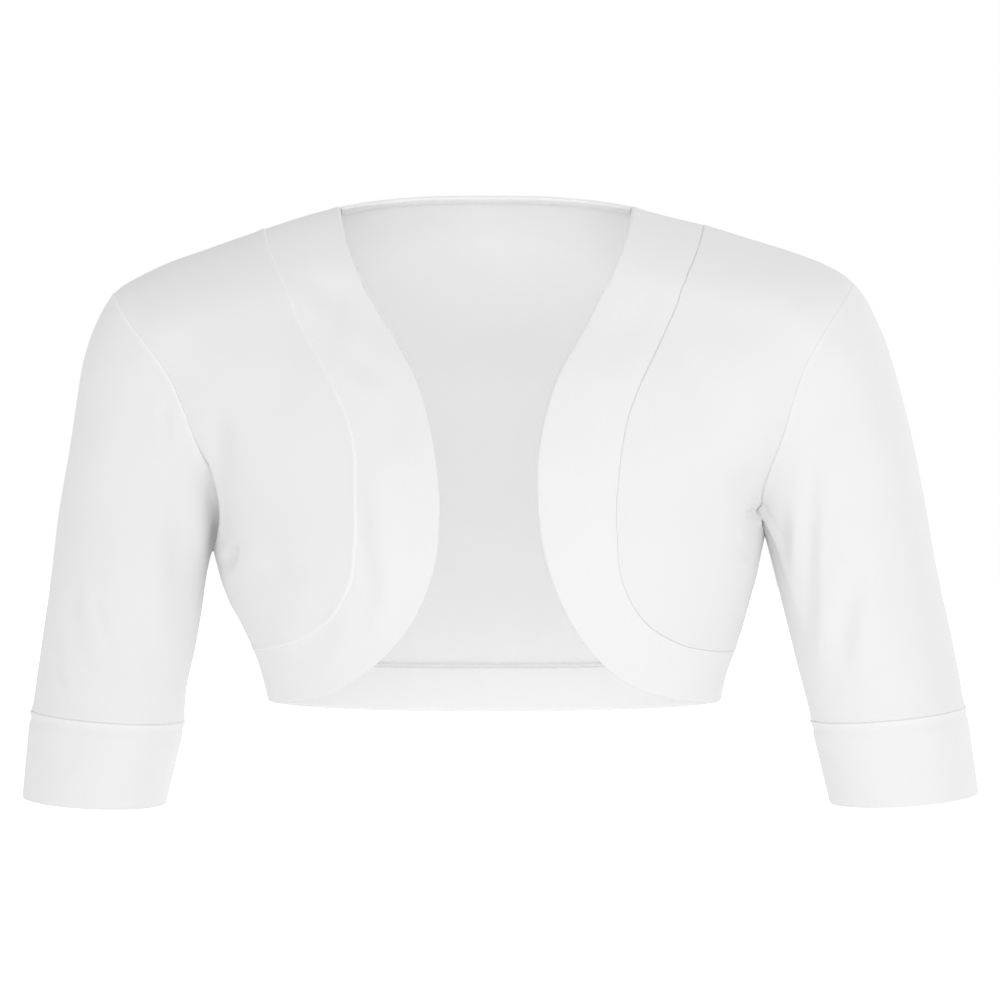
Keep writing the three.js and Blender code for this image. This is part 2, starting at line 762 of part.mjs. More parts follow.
// The moves that open the seams of one front and its band, and of the back and hem beside them.
function openSeams(side, { front, band }, back, hem) {
  const { edge, beside } = side;
  return [
    ...movesBack(front[0], front[1]),
    ...movesBack(columnOf(front, 0), columnOf(front, 1)),
    ...movesBack(belowArmhole(front, -1), belowArmhole(front, -2)),
    ...movesBack(belowArmhole(back, edge), belowArmhole(back, beside)),
    ...movesBack(band[0], band[1]),
    ...movesBack(columnOf(band, -1), columnOf(band, -2)),
    ...movesBack(band.at(-1), band.at(-2)),
    ...movesBack(columnOf(hem, edge), columnOf(hem, beside)),
  ];
}

// Sets a sleeve into its armhole, so that their places meet and share one way through the
// cloth. Gives the moves that open this seam.
function setSleeve(side, { front, sleeve }, back) {
  const inFront = columnOf(front, -1);
  const behind = columnOf(back, side.edge);
  const panels = sleeve[0].map((_, k) => (
    k <= ARMHOLE_ROWS ? inFront[k] : behind[2 * ARMHOLE_ROWS - k]
  ));
  sleeve[0].forEach((place, k) => {
    place.point.copy(panels[k].point);
    mitre(place, panels[k]);
  });
  for (const end of [0, ARMHOLE_ROWS]) {
    const { normal, stretch } = inFront[end];
    Object.assign(behind[end], { normal: normal.clone(), stretch });
  }
  return movesBack(sleeve[0], sleeve[1], true).flatMap((sleeveMove, k) => {
    const move = sleeveMove.move.clone().negate();
    const shared = k === 0 || k === ARMHOLE_ROWS ? [{ place: behind[k], move }] : [];
    return [sleeveMove, { place: panels[k], move }, ...shared];
  });
}

// Sets a cuff on the end of its sleeve in the same way.
function setCuff({ sleeve, cuff }) {
  const above = sleeve.at(-1);
  cuff[0].forEach((place, k) => {
    mitre(place, above[k]);
    place.point.copy(above[k].point).addScaledVector(place.normal, FOLDED - JERSEY);
  });
  return movesBack(above, sleeve.at(-2), true).flatMap((sleeveMove, k) => (
    [sleeveMove, { place: cuff[0][k], move: sleeveMove.move.clone().negate() }]
  ));
}

// Closes a grid of places into a wall of cloth. A ring's last column meets its first.
function wallOf(grid, thickness, isRing) {
  const rows = grid.length;
  const columns = grid[0].length;
  const positions = [];
  for (const place of grid.flat()) {
    positions.push(place.point);
    positions.push(place.point.clone().addScaledVector(
      place.normal,
      -thickness * place.stretch,
    ));
  }
  const outer = (row, column) => 2 * (row * columns + (column % columns));
  const inner = (row, column) => outer(row, column) + 1;
  const quads = [];
  const across = isRing ? columns : columns - 1;
  for (let i = 0; i < rows - 1; i += 1) {
    for (let j = 0; j < across; j += 1) {
      quads.push([outer(i, j), outer(i + 1, j), outer(i + 1, j + 1), outer(i, j + 1)]);
      quads.push([inner(i, j), inner(i, j + 1), inner(i + 1, j + 1), inner(i + 1, j)]);
    }
  }
  for (let j = 0; j < across; j += 1) {
    const end = rows - 1;
    quads.push([outer(0, j), outer(0, j + 1), inner(0, j + 1), inner(0, j)]);
    quads.push([outer(end, j), inner(end, j), inner(end, j + 1), outer(end, j + 1)]);
  }
  for (let i = 0; !isRing && i < rows - 1; i += 1) {
    const end = columns - 1;
    quads.push([outer(i, 0), inner(i, 0), inner(i + 1, 0), outer(i + 1, 0)]);
    quads.push([outer(i, end), outer(i + 1, end), inner(i + 1, end), inner(i, end)]);
  }
  return solidOf(positions, quads);
}

// Joins points that coincide, leaves out the triangles that shrink away with them, and turns
// the faces out.
function solidOf(positions, quads) {
  const places = new Map();
  const points = [];
  const index = positions.map((point) => {
    const key = point.toArray().map((value) => value.toFixed(3)).join(' ');
    if (!places.has(key)) {
      places.set(key, points.length);
      points.push(point);
    }
    return places.get(key);
  });
  const triangles = [];
  let volume = 0;
  for (const [a, b, c, d] of quads.map((quad) => quad.map((corner) => index[corner]))) {
    for (const [p, q, r] of [[a, b, c], [a, c, d]]) {
      if (p !== q && q !== r && r !== p) {
        triangles.push([p, q, r]);
        volume += points[p].dot(points[q].clone().cross(points[r]));
      }
    }
  }
  if (volume < 0) triangles.forEach((triangle) => triangle.reverse());
  const geometry = new THREE.BufferGeometry();
  geometry.setAttribute('position', new THREE.Float32BufferAttribute(
    points.flatMap((point) => point.toArray()),
    3,
  ));
  geometry.setIndex(triangles.flat());
  geometry.computeVertexNormals();
  return geometry;
}

function pieceOf(name, geometry, color) {
  const material = new THREE.MeshStandardMaterial({ color, roughness: 0.9, metalness: 0 });
  const mesh = new THREE.Mesh(geometry, material);
  mesh.name = name;
  return mesh;
}

// The jacket

const PANEL_WHITE = 0xf2f2f2;
const BAND_WHITE = 0xf7f7f7;
const HEM_WHITE = 0xececec;

const back = backGrid();
const hem = hemGrid();
const sides = [RIGHT, LEFT].map((side) => ({
  side,
  front: frontGrid(side),
  band: bandGrid(side),
  sleeve: sleeveGrid(side),
  cuff: cuffGrid(side),
}));
const moves = [
  ...movesBack(back[0].slice(0, HALF_BACK + 1), back[1].slice(0, HALF_BACK + 1)),
  ...movesBack(back[0].slice(-HALF_BACK - 1), back[1].slice(-HALF_BACK - 1)),
  ...movesBack(back.at(-1), back.at(-2)),
  ...movesBack(hem[0], hem[1]),
  ...sides.flatMap((pieces) => openSeams(pieces.side, pieces, back, hem)),
  ...sides.flatMap((pieces) => [...setSleeve(pieces.side, pieces, back), ...setCuff(pieces)]),
];
moves.forEach(({ place, move }) => place.point.add(move));

const group = new THREE.Group();
group.add(pieceOf('back', wallOf(back, JERSEY, false), PANEL_WHITE));
group.add(pieceOf('back_hem', wallOf(hem, FOLDED, false), HEM_WHITE));
group.add(pieceOf('neck_hem', wallOf(neckHemGrid(back), NECK_HEM_CLOTH, false), HEM_WHITE));
for (const { side, front, band, sleeve, cuff } of sides) {
  const { name } = side;
  group.add(pieceOf(`front_${name}`, wallOf(front, JERSEY, false), PANEL_WHITE));
  group.add(pieceOf(`band_${name}`, wallOf(band, FOLDED, false), BAND_WHITE));
  group.add(pieceOf(`sleeve_${name}`, wallOf(sleeve, JERSEY, true), PANEL_WHITE));
  group.add(pieceOf(`cuff_${name}`, wallOf(cuff, FOLDED, true), BAND_WHITE));
}

export default group;
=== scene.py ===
"""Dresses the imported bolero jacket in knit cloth, with its seams, stitches, light and camera.

Sizes and places are in millimetres, as in the part's source. They become metres where a mesh
is made. Distances in x within a side's tables are measured outwards from the middle.
"""

import logging
import math
from dataclasses import dataclass, field
from enum import Enum
from typing import Callable, NamedTuple, Sequence

import bmesh
import bpy
import numpy as np
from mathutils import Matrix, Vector


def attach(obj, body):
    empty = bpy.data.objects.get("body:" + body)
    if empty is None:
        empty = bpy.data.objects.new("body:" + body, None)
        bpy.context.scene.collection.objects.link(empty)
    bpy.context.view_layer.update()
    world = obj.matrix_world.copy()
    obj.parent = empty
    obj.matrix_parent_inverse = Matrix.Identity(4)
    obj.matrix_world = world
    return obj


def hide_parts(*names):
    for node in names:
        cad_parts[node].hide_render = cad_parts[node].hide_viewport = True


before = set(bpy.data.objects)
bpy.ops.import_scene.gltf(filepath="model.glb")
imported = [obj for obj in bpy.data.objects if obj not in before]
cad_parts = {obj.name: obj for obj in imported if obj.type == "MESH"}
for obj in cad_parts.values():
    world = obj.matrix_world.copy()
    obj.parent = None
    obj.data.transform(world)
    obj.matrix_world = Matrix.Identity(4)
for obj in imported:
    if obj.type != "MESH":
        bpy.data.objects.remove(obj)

LOG = logging.getLogger("bolero")
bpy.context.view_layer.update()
BODY = "root"

Array = np.ndarray
Marks = Sequence[tuple[float, float]]

MM = 0.001
TINY = 1e-9
KNIT_MAP = "knit"
RIM_HIGHLIGHT_MAP = "rim"
# The point attribute that holds the painted highlight along raised seam rims.
OUT_OF_CLOTH = "out_of_cloth"

# Cloth
JERSEY = 1.2
FOLDED = 2.4
NECK_HEM_CLOTH = 1.0
NECK_HEM_GAP = 0.1
SHARPEST_MITRE = 2.5

# Body form, as in the part's source
FULLNESS = 2.2
SHOULDER_ROLL = 45.0
FRONT_DEPTH = [
    (-275, 77), (-240, 87), (-200, 101), (-165, 107), (-130, 105), (-80, 90), (-40, 67), (0, 46), (35, 30),
]
BACK_DEPTH = [
    (-275, 67), (-240, 71), (-200, 77), (-165, 83), (-130, 88), (-80, 90), (-40, 76), (0, 62), (35, 48),
]
NECK_HALF = 83.5
NECK_SIDE_Z = 25.0
NECK_BACK_RISE = 8.0
NECK_CURVE = 3
HEM_SIDE_Z = -257.6
HEM_BACK_DROP = 8.0
HEM_HEIGHT = 25.0
BAND_END_Z = -228.0

# Armholes and sleeves, as in the part's source
ARMHOLE_FRONT = 52.0
ARMHOLE_BACK = 58.0
ARMHOLE_SCOOP = 0.35
ARMHOLE_DEEPEST = 0.97
TIP_CLEARANCE = 1.0
SLEEVE_DEPTH = 49.0
SLEEVE_LEAN = math.tan(math.radians(3.2))
SLEEVE_SET_BACK = 5.0
CUFF_SET_BACK = 6.5

# How soon creases reach their full depth beside the side and underarm seams
CREASE_HOLD = 2.2

# How far from the armhole seam a tuck draws in the front and the sleeve, and where it bulges
TUCK_FRONT = 3.4
TUCK_SLEEVE = 13.0
TUCK_BULGE = 8.0
TUCK_LIFT = 0.22
TUCK_END = 0.3

# Rows and columns of the part's source, which the finer grids here keep as their measure
ARMHOLE_ROWS = 16
SIDE_ROWS = 6
BODY_ROWS = ARMHOLE_ROWS + SIDE_ROWS
FRONT_COLUMNS = 8
BAND_COLUMNS = 4
NECK_COLUMNS = 12
HALF_BACK = FRONT_COLUMNS + BAND_COLUMNS
BACK_COLUMNS = 2 * HALF_BACK + NECK_COLUMNS
BAND_SHARE_AT_ARMPIT = 0.68
FRONT_FADE = 2
BAND_FADE = 4
BACK_FADE = 2
SLEEVE_FADE = 3
AROUND = 100.0
SIDE_SEAM = math.pi / 2 * AROUND

SHARP_CORNER = math.radians(55)
GRADIENT_STEP = 0.02
SURFACE_STEP = 1e-3


class Face(Enum):
    """The side of the jacket that a crease lies on."""

    FRONT = "front"
    BACK = "back"


class Edge(Enum):
    """How a piece's edge is finished: the shares of its thickness that roll in, and how far.

    The values are the outer share, the inner share and the reach in thicknesses.
    """

    RAISED_SEAM = (0.0, 0.0, 0.61)
    SUNK_SEAM = (0.5, 0.0, 0.6)
    SEAM = (0.1, 0.0, 0.4)
    THICK_SEAM = (0.05, 0.0, 0.2)
    FOLD = (0.5, 0.5, 0.5)
    TIGHT_FOLD = (0.25, 0.3, 0.3)
    LINED_FOLD = (0.0, 0.9, 1.0)
    CUT = (0.15, 0.15, 0.2)


class Crease(NamedTuple):
    """A soft trough from one place to another, or a ridge where its depth is negative.

    bow bends it sideways, and lip raises the cloth beside it, as a share of the depth.
    """

    face: Face
    x1: float
    z1: float
    x2: float
    z2: float
    width: float
    depth: float
    bow: float = 0.0
    lip: float = 0.0

class Tuck(NamedTuple):
    """A place where the armhole seam is drawn in, so that the front bulges over it.

    turn is its place round the armhole and spread its half length there, both in radians.
    deep is how far in the seam goes, and under how far it goes beneath the front.
    """

    turn: float
    spread: float
    deep: float
    under: float


F, B = Face.FRONT, Face.BACK


@dataclass(frozen=True)
class Side:
    """The outlines and creases of one half of the jacket."""

    name: str
    sign: int
    armhole_top: float
    armhole_bottom: float
    shoulder: Marks
    side: Marks
    band_edge: Marks
    band_seam: Marks
    band_top: float
    sleeve_outer: Marks
    sleeve_inner: Marks
    cuff_outer: tuple[float, float]
    cuff_inner: tuple[float, float]
    sleeve_creases: Sequence[Crease]
    body_creases: Sequence[Crease]
    cuff_creases: Sequence[Crease]
    tucks: Sequence[Tuck]
    seam_rim: float
    seam_edge: Edge
    # Painted highlights: how much lighter the colour is made along the raised seam rims beside the band and round the
    # armhole.
    band_seam_highlight: float
    sleeve_seam_highlight: float


RIGHT = Side(
    name="right",
    sign=-1,
    armhole_top=-24.5,
    armhole_bottom=-168.2,
    shoulder=[
        (0, 53), (45, 47), (NECK_HALF, NECK_SIDE_Z), (101, 20), (122.5, 13.1), (142.5, 6.3),
        (162, -0.6), (181, -7.4), (195.5, -14.2), (207, -20.6), (211.5, -24.5),
    ],
    side=[
        (-266, 121), (-258, 123.4), (-233, 130.5), (-213, 139.5), (-199, 147), (-178, 153.6),
        (-168.2, 155.6), (-145, 156), (-127.7, 158.5), (-106.6, 164.8), (-90, 170.6),
        (-74, 177.7), (-61, 186.2), (-48.5, 196), (-37.6, 204.2), (-24.5, 211.5),
    ],
    band_edge=[
        (79.7, 6.3), (64.8, -28.7), (53.5, -47), (36.8, -79.3), (27.7, -118.2), (25.4, -152.4),
        (28.2, -180), (41.1, -211.5), (61.6, -234.6), (87.6, -251.3), (106, -255.6),
    ],
    band_seam=[
        (120.2, -4), (114.9, -16), (111.6, -23.5), (110.1, -27), (104.9, -40.3), (86.5, -73.8), (74.6, -102.3), (71.6, -142.5),
        (71.9, -167.4), (74.5, -188.4), (84, -206.5), (103, -220.5), (117, -225.2),
    ],
    band_top=125.8,
    sleeve_outer=[
        (211.5, -24.5), (216, -30.5), (223, -44), (229, -62), (233, -85), (237, -113),
        (243.5, -150), (247.8, -186), (252.5, -218), (258.8, -262),
    ],
    sleeve_inner=[
        (155.6, -168.2), (159, -183), (162, -205), (166, -228), (170.5, -248), (172.5, -268.5),
    ],
    cuff_outer=(263.5, -312),
    cuff_inner=(184, -316),
    sleeve_creases=[
        Crease(F, 241, -172, 203, -254, 5.5, 2.6, -8, 0.45),
        Crease(F, 228, -186, 198, -250, 5, 2.2, -3, 0.45),
        Crease(F, 249, -226, 236, -256, 3.5, 1.8, 0, 0.4),
        Crease(F, 173, -112, 171, -236, 8, 2.6, 0, 0.25),
        Crease(F, 183, -82, 174.5, -122, 3.2, 2.4, -1, 0.3),
        Crease(F, 206, -66, 190, -122, 12, 1.6, 4),
        Crease(F, 222, -88, 228, -154, 15, -1.8),
        Crease(F, 198, -150, 204, -214, 13, -1.4, -5),
        Crease(F, 240, -60, 243, -112, 7, 1.4, 0, 0.3),
        Crease(B, 236, -150, 214, -232, 11, 5.1, 3, 0.25),
        Crease(B, 205, -120, 186, -210, 10, 4.4, -3, 0.3),
        Crease(B, 247, -196, 236, -256, 8, 3.6, 2, 0.2),
        Crease(B, 222, -70, 226, -140, 15, 2.2),
        Crease(B, 188, -182, 203, -250, 9, 3.4, -3, 0.3),
    ],
    body_creases=[
        Crease(F, 153, -80, 149, -146, 8, 4.0),
        Crease(F, 161, -116, 146, -196, 9, 6),
        Crease(F, 152, -172, 141, -178, 6.5, 7),
        Crease(F, 184, -26, 182, -72, 10, -2.0),
        Crease(F, 118, -40, 128, -120, 15, 1.8, 5),
        Crease(F, 132, -156, 101, -190, 10, 2.0, -4, 0.3),
        Crease(F, 146, -190, 96, -186, 7, 1.5, 3, 0.3),
        Crease(F, 104, -8, 72, -50, 8, 2.4, 3, 0.35),
        Crease(F, 64, -104, 47, -214, 9, -3.2, -4),
        Crease(F, 72, -126, 62, -206, 5, 1.6),
        Crease(F, 50, -168, 66, -226, 6, -1.8, 2),
        Crease(F, 80, -194, 114, -238, 9, 2.4, 3, 0.3),
        Crease(F, 76, -48, 52, -84, 7, 1.8, -3, 0.3),
        Crease(F, 58, -66, 44, -134, 8, 1.4),
        Crease(B, 150, -70, 120, -150, 12, 4.1),
        Crease(B, 152, -168, 88, -128, 9, 3.0, -6, 0.3),
        Crease(B, 150, -184, 70, -172, 9, 2.6, 5, 0.3),
        Crease(B, 116, -150, 108, -236, 13, 2.6, 4),
        Crease(B, 60, -46, 92, -118, 16, 1.9, -6),
    ],
    cuff_creases=[
        Crease(F, 236, -266, 233, -300, 7, 1.7),
        Crease(B, 206, -266, 212, -304, 8, 1.9),
    ],
    tucks=[Tuck(2.3, 0.32, 6.5, 3), Tuck(2.7, 0.24, 5.5, 7)],
    seam_rim=0.6,
    seam_edge=Edge.RAISED_SEAM,
    # Painted highlights on this side's band and armhole seam rims, which face the light.
    band_seam_highlight=0.07,
    sleeve_seam_highlight=0.08,
)

LEFT = Side(
    name="left",
    sign=1,
    armhole_top=-18.8,
    armhole_bottom=-162,
    shoulder=[
        (0, 53), (45, 47), (NECK_HALF, NECK_SIDE_Z), (98.6, 20.4), (128.3, 13.1),
        (150.5, 6.3), (174, -1), (192, -7.8), (203.5, -14), (209.2, -18.8),
    ],
    side=[
        (-266, 130.5), (-257.6, 133.2), (-240, 137.6), (-226, 142.6), (-212, 147),
        (-199, 150.6), (-184, 154.4), (-172, 157), (-162, 159), (-145, 159.6),
        (-120.8, 162.8), (-106.6, 167.2), (-91.8, 171.6), (-74, 177.1), (-57.6, 184.8),
        (-41, 195.2), (-28.5, 203.6), (-18.8, 209.2),
    ],
    band_edge=[
        (79.9, 8.1), (66.9, -23.2), (57.5, -41.5), (39.8, -73.9), (30.6, -105.9),
        (28.6, -142.5), (31, -166), (39.8, -195.4), (55.8, -223.9), (79, -245.4),
        (106, -254.5), (121, -256.9),
    ],
    band_seam=[
        (120.5, 2), (116.2, -9.1), (112.6, -17.5), (111.2, -21), (108, -30.5), (93.2, -63.1), (79.5, -95.2), (74.1, -125.9),
        (72.6, -160.1), (76.4, -190.1), (90, -212), (110, -223.8), (128, -227.6),
    ],
    band_top=123.9,
    sleeve_outer=[
        (209.2, -18.8), (214.5, -25), (223, -41), (229, -56), (235, -76), (242, -104),
        (250.2, -144), (257.6, -185), (264, -212.6), (269.6, -240), (273, -260),
    ],
    sleeve_inner=[
        (159, -162), (163, -178), (169.9, -205.8), (176.7, -233), (183, -257), (186, -268),
    ],
    cuff_outer=(280, -309.5),
    cuff_inner=(197.5, -315.5),
    sleeve_creases=[
        Crease(F, 184.5, -100, 181, -240, 4.2, 2.4, 1, 0.3),
        Crease(F, 212, -166, 198, -256, 6, 2.8, 3, 0.4),
        Crease(F, 166, -140, 168, -182, 5, 2.4),
        Crease(F, 240, -150, 238, -236, 12, 1.6, 3),
        Crease(F, 204, -60, 190, -120, 13, 1.4, 3),
        Crease(F, 228, -84, 236, -150, 16, -1.6),
        Crease(B, 240, -140, 222, -238, 11, 5.1, 3, 0.25),
        Crease(B, 206, -116, 194, -212, 10, 4.4, -3, 0.3),
        Crease(B, 258, -200, 250, -256, 8, 3.2, 2, 0.2),
        Crease(B, 224, -66, 232, -134, 15, 2.2),
        Crease(B, 196, -190, 214, -254, 9, 3.4, -3, 0.3),
    ],
    body_creases=[
        Crease(F, 152, -112, 144, -158, 8, 3.0),
        Crease(F, 165, -112, 152, -188, 8, 6),
        Crease(F, 172, -147.5, 144, -153, 2.6, 4.2, 0, 0.45),
        Crease(F, 156, -170, 132, -172, 4, 1.6, 0, 0.35),
        Crease(F, 182, -22, 178, -66, 11, -1.6),
        Crease(F, 120, -44, 126, -112, 15, 1.4, 4),
        Crease(F, 124, -58, 114, -84, 5, 0.9, 2, 0.3),
        Crease(F, 94, -24, 66, -76, 9, 1.2, 4),
        Crease(F, 60, -110, 44, -190, 11, -1.6, -3),
        Crease(F, 66, -84, 62, -140, 5, 0.9),
        Crease(F, 84, -196, 74, -238, 9, 1.6, 3),
        Crease(B, 148, -66, 122, -146, 12, 4.1),
        Crease(B, 154, -162, 90, -124, 9, 2.8, -6, 0.3),
        Crease(B, 152, -180, 74, -170, 9, 2.4, 5, 0.3),
        Crease(B, 120, -146, 112, -234, 13, 2.4, 4),
        Crease(B, 58, -44, 90, -116, 16, 1.7, -6),
    ],
    cuff_creases=[
        Crease(F, 240, -266, 244, -302, 8, 1.4),
        Crease(B, 216, -266, 224, -302, 8, 1.9),
    ],
    tucks=[Tuck(2.6, 0.2, 1.0, 1.5)],
    seam_rim=0.3,
    seam_edge=Edge.SUNK_SEAM,
    # A fainter painted highlight on this side's armhole seam rim, and none on its band seam, which faces away from the
    # light.
    band_seam_highlight=0.0,
    sleeve_seam_highlight=0.035,
)


def hermite(a: Array, b: Array, slope_a: Array, slope_b: Array, u: Array) -> Array:
    """Blends from a to b with the given slopes, as u goes from 0 to 1."""
    u2, u3 = u * u, u**3
    start = (2 * u3 - 3 * u2 + 1) * a + (u3 - 2 * u2 + u) * slope_a
    return start + (3 * u2 - 2 * u3) * b + (u3 - u2) * slope_b


def mix(a: Array, b: Array, share: Array) -> Array:
    """Goes straight from a to b."""
    return a + (b - a) * share


def unit(vectors: Array) -> Array:
    """The vectors at length 1."""
    return vectors / np.maximum(np.linalg.norm(vectors, axis=-1, keepdims=True), TINY)


class Through:
    """A smooth function through the rows of a table, level where the rows turn back."""

    def __init__(self, rows: Marks) -> None:
        """Reads the table.

        Args:
            rows: Pairs of the number read by and the number wanted, in rising order.
        """
        self.xs, self.ys = np.array(rows, float).T
        slopes = np.diff(self.ys) / np.diff(self.xs)
        before, after = slopes[:-1], slopes[1:]
        total = np.where(before * after > 0, before + after, 1)
        inner = np.where(before * after > 0, 2 * before * after / total, 0)
        self.tangents = np.concatenate([slopes[:1], inner, slopes[-1:]])

    def __call__(self, x: Array) -> Array:
        """The function at x, held at its ends."""
        i = np.clip(np.searchsorted(self.xs, x, side="left") - 1, 0, len(self.xs) - 2)
        width = self.xs[i + 1] - self.xs[i]
        u = np.clip((x - self.xs[i]) / width, 0, 1)
        slope_a, slope_b = self.tangents[i] * width, self.tangents[i + 1] * width
        return hermite(self.ys[i], self.ys[i + 1], slope_a, slope_b, u)


class Path:
    """A smooth path through points in a plane, read by the share of its length."""

    def __init__(self, points: Array) -> None:
        """Lays the path.

        Args:
            points: The points that it passes through, one a row.
        """
        self.points = np.asarray(points, float)
        spans = np.linalg.norm(np.diff(self.points, axis=0), axis=1)
        self.reach = np.concatenate([[0], np.cumsum(spans)])
        slopes = np.diff(self.points, axis=0) / spans[:, None]
        before, after = spans[:-1, None], spans[1:, None]
        # Each chord's length weighs the slope on the other side of its point
        inner = (slopes[:-1] * after + slopes[1:] * before) / (before + after)
        self.tangents = np.concatenate([slopes[:1], inner, slopes[-1:]])

    def __call__(self, share: Array) -> Array:
        """The point at a share of the length, from 0 to 1."""
        distance = np.clip(share, 0, 1) * self.reach[-1]
        i = np.clip(np.searchsorted(self.reach, distance, side="left") - 1, 0, len(self.reach) - 2)
        width = self.reach[i + 1] - self.reach[i]
        u = ((distance - self.reach[i]) / width)[..., None]
        slope_a = self.tangents[i] * width[..., None]
        slope_b = self.tangents[i + 1] * width[..., None]
        return hermite(self.points[i], self.points[i + 1], slope_a, slope_b, u)


def crease_depth(creases: Sequence[Crease], face: Array, x: Array, z: Array) -> Array:
    """How far in the creases press the cloth.

    Args:
        creases: The creases of the piece.
        face: True where the cloth is at the front.
        x: Distance outwards from the middle.
        z: Height.

    Returns:
        The depth at each place.
    """
    depth = np.zeros(np.shape(x))
    for crease in creases:
        start = np.array([crease.x1, crease.z1])
        run = np.array([crease.x2, crease.z2]) - start
        length = np.hypot(*run)
        offset_x, offset_z = np.abs(x) - start[0], z - start[1]
        along = (offset_x * run[0] + offset_z * run[1]) / length**2
        rise = np.sin(math.pi * np.clip(along, 0, 1)) ** 2
        beside = (offset_x * run[1] - offset_z * run[0]) / length - crease.bow * rise
        beside = beside / crease.width
        trough = np.exp(-(beside**2))
        lips = np.exp(-((np.abs(beside) - 1.9) ** 2) / 0.7)
        shape = trough - crease.lip * lips
        here = face == (crease.face is Face.FRONT)
        depth += np.where(here, crease.depth * rise * shape, 0)
    return depth


class BodyForm:
    """The form of the worn body of the jacket.

    A place on it is an angle round the body and a height: 0 is the middle of the front, a
    quarter turn the side seam, half a turn the middle of the back.
    """

    def __init__(self) -> None:
        """Reads the tables of both sides."""
        self.front_depth = Through(FRONT_DEPTH)
        self.back_depth = Through(BACK_DEPTH)
        self.shoulder = {side.name: Through(side.shoulder) for side in (RIGHT, LEFT)}
        self.side = {side.name: Through(side.side) for side in (RIGHT, LEFT)}

    def depth(self, is_front: Array, z: Array) -> Array:
        """How far the form reaches to the front or the back at a height."""
        return np.where(is_front, self.front_depth(z), self.back_depth(z))

    @staticmethod
    def roll_squared(drop: Array) -> Array:
        """The roll over the shoulder, squared: 0 on the shoulder line, 1 below its reach."""
        return np.where(drop > SHOULDER_ROLL, 1, 1 - (1 - drop / SHOULDER_ROLL) ** 2)

    @staticmethod
    def armhole_reach(side: Side, is_front: Array, z: Array) -> Array:
        """How far the armhole lies in front of the shoulder seam, or behind it."""
        down = (side.armhole_top - z) / (side.armhole_top - side.armhole_bottom)
        curve = 2 * np.sqrt(np.maximum(0, down * (1 - down)))
        scooped = ARMHOLE_FRONT * curve * (1 - ARMHOLE_SCOOP * down**2)
        return np.where(is_front, scooped, ARMHOLE_BACK * curve)

    def half_width(self, side: Side, is_front: Array, z: Array) -> Array:
        """Half the width that makes the form pass through the armhole and side seams."""
        height = np.clip(z, side.armhole_bottom, side.armhole_top - TIP_CLEARANCE)
        x = self.side[side.name](height)
        roll = np.sqrt(np.maximum(TINY, self.roll_squared(self.shoulder[side.name](x) - height)))
        reach = self.armhole_reach(side, is_front, height)
        share = np.minimum(ARMHOLE_DEEPEST, reach / (self.depth(is_front, height) * roll))
        widened = x / (1 - share**FULLNESS) ** (1 / FULLNESS)
        return np.where(z <= side.armhole_bottom, self.side[side.name](z), widened)

    def angle(self, side: Side, is_front: Array, x: Array, z: Array) -> Array:
        """The angle round the body of a place at a distance outwards and a height."""
        share = np.minimum(1, np.abs(x) / self.half_width(side, is_front, z))
        angle = np.arcsin(share ** (FULLNESS / 2))
        return np.where(is_front, angle, math.pi - angle)

    def point(self, side: Side, is_front: Array, angle: Array, z: Array) -> Array:
        """The place itself, as x, y and z."""
        across = np.abs(np.sin(angle)) ** (2 / FULLNESS)
        deep = np.abs(np.cos(angle)) ** (2 / FULLNESS)
        x = self.half_width(side, is_front, z) * across
        roll = np.sqrt(np.maximum(0, self.roll_squared(self.shoulder[side.name](x) - z)))
        facing = np.where(is_front, -1, 1)
        y = facing * self.depth(is_front, z) * deep * roll
        return np.stack([side.sign * x, y, z + 0 * x], axis=-1)

    def level(self, side: Side, is_front: Array, place: Array) -> Array:
        """Positive inside the form, zero on it."""
        x, y, z = place[..., 0], place[..., 1], place[..., 2]
        share = np.abs(x) / self.half_width(side, is_front, z)
        rest = 1 - share**FULLNESS
        profile = np.sign(rest) * np.abs(rest) ** (2 / FULLNESS)
        roll = self.roll_squared(self.shoulder[side.name](np.abs(x)) - z)
        return roll * profile - (y / self.depth(is_front, z)) ** 2

    def normal(self, side: Side, is_front: Array, place: Array) -> Array:
        """The way out of the form."""
        steps = np.eye(3) * GRADIENT_STEP
        slopes = [
            self.level(side, is_front, place - step) - self.level(side, is_front, place + step)
            for step in steps
        ]
        return unit(np.stack(slopes, axis=-1))

    def place(self, side: Side, is_front: Array, angle: Array, z: Array) -> tuple[Array, Array]:
        """The creased cloth's outer point and the way out of the cloth there."""
        point = self.point(side, is_front, angle, z)
        normal = self.normal(side, is_front, point)
        depth = crease_depth(side.body_creases, is_front, point[..., 0], point[..., 2])
        depth = depth * np.minimum(1, np.abs(normal[..., 1]) * CREASE_HOLD)
        return point - normal * depth[..., None], normal

    def armhole_height(self, side: Side, turn: Array) -> Array:
        """Height on the armhole at a turn round it: 0 at the shoulder, half at the underarm."""
        return mix(side.armhole_bottom, side.armhole_top, (1 + np.cos(turn)) / 2)

    def armhole(self, side: Side, turn: Array) -> tuple[Array, Array]:
        """The armhole's point and the body cloth's way out, at a turn round it."""
        is_front = turn <= math.pi
        z = self.armhole_height(side, turn)
        angle = self.angle(side, is_front, self.side[side.name](z), z)
        return self.place(side, is_front, angle, z)


FORM = BodyForm()


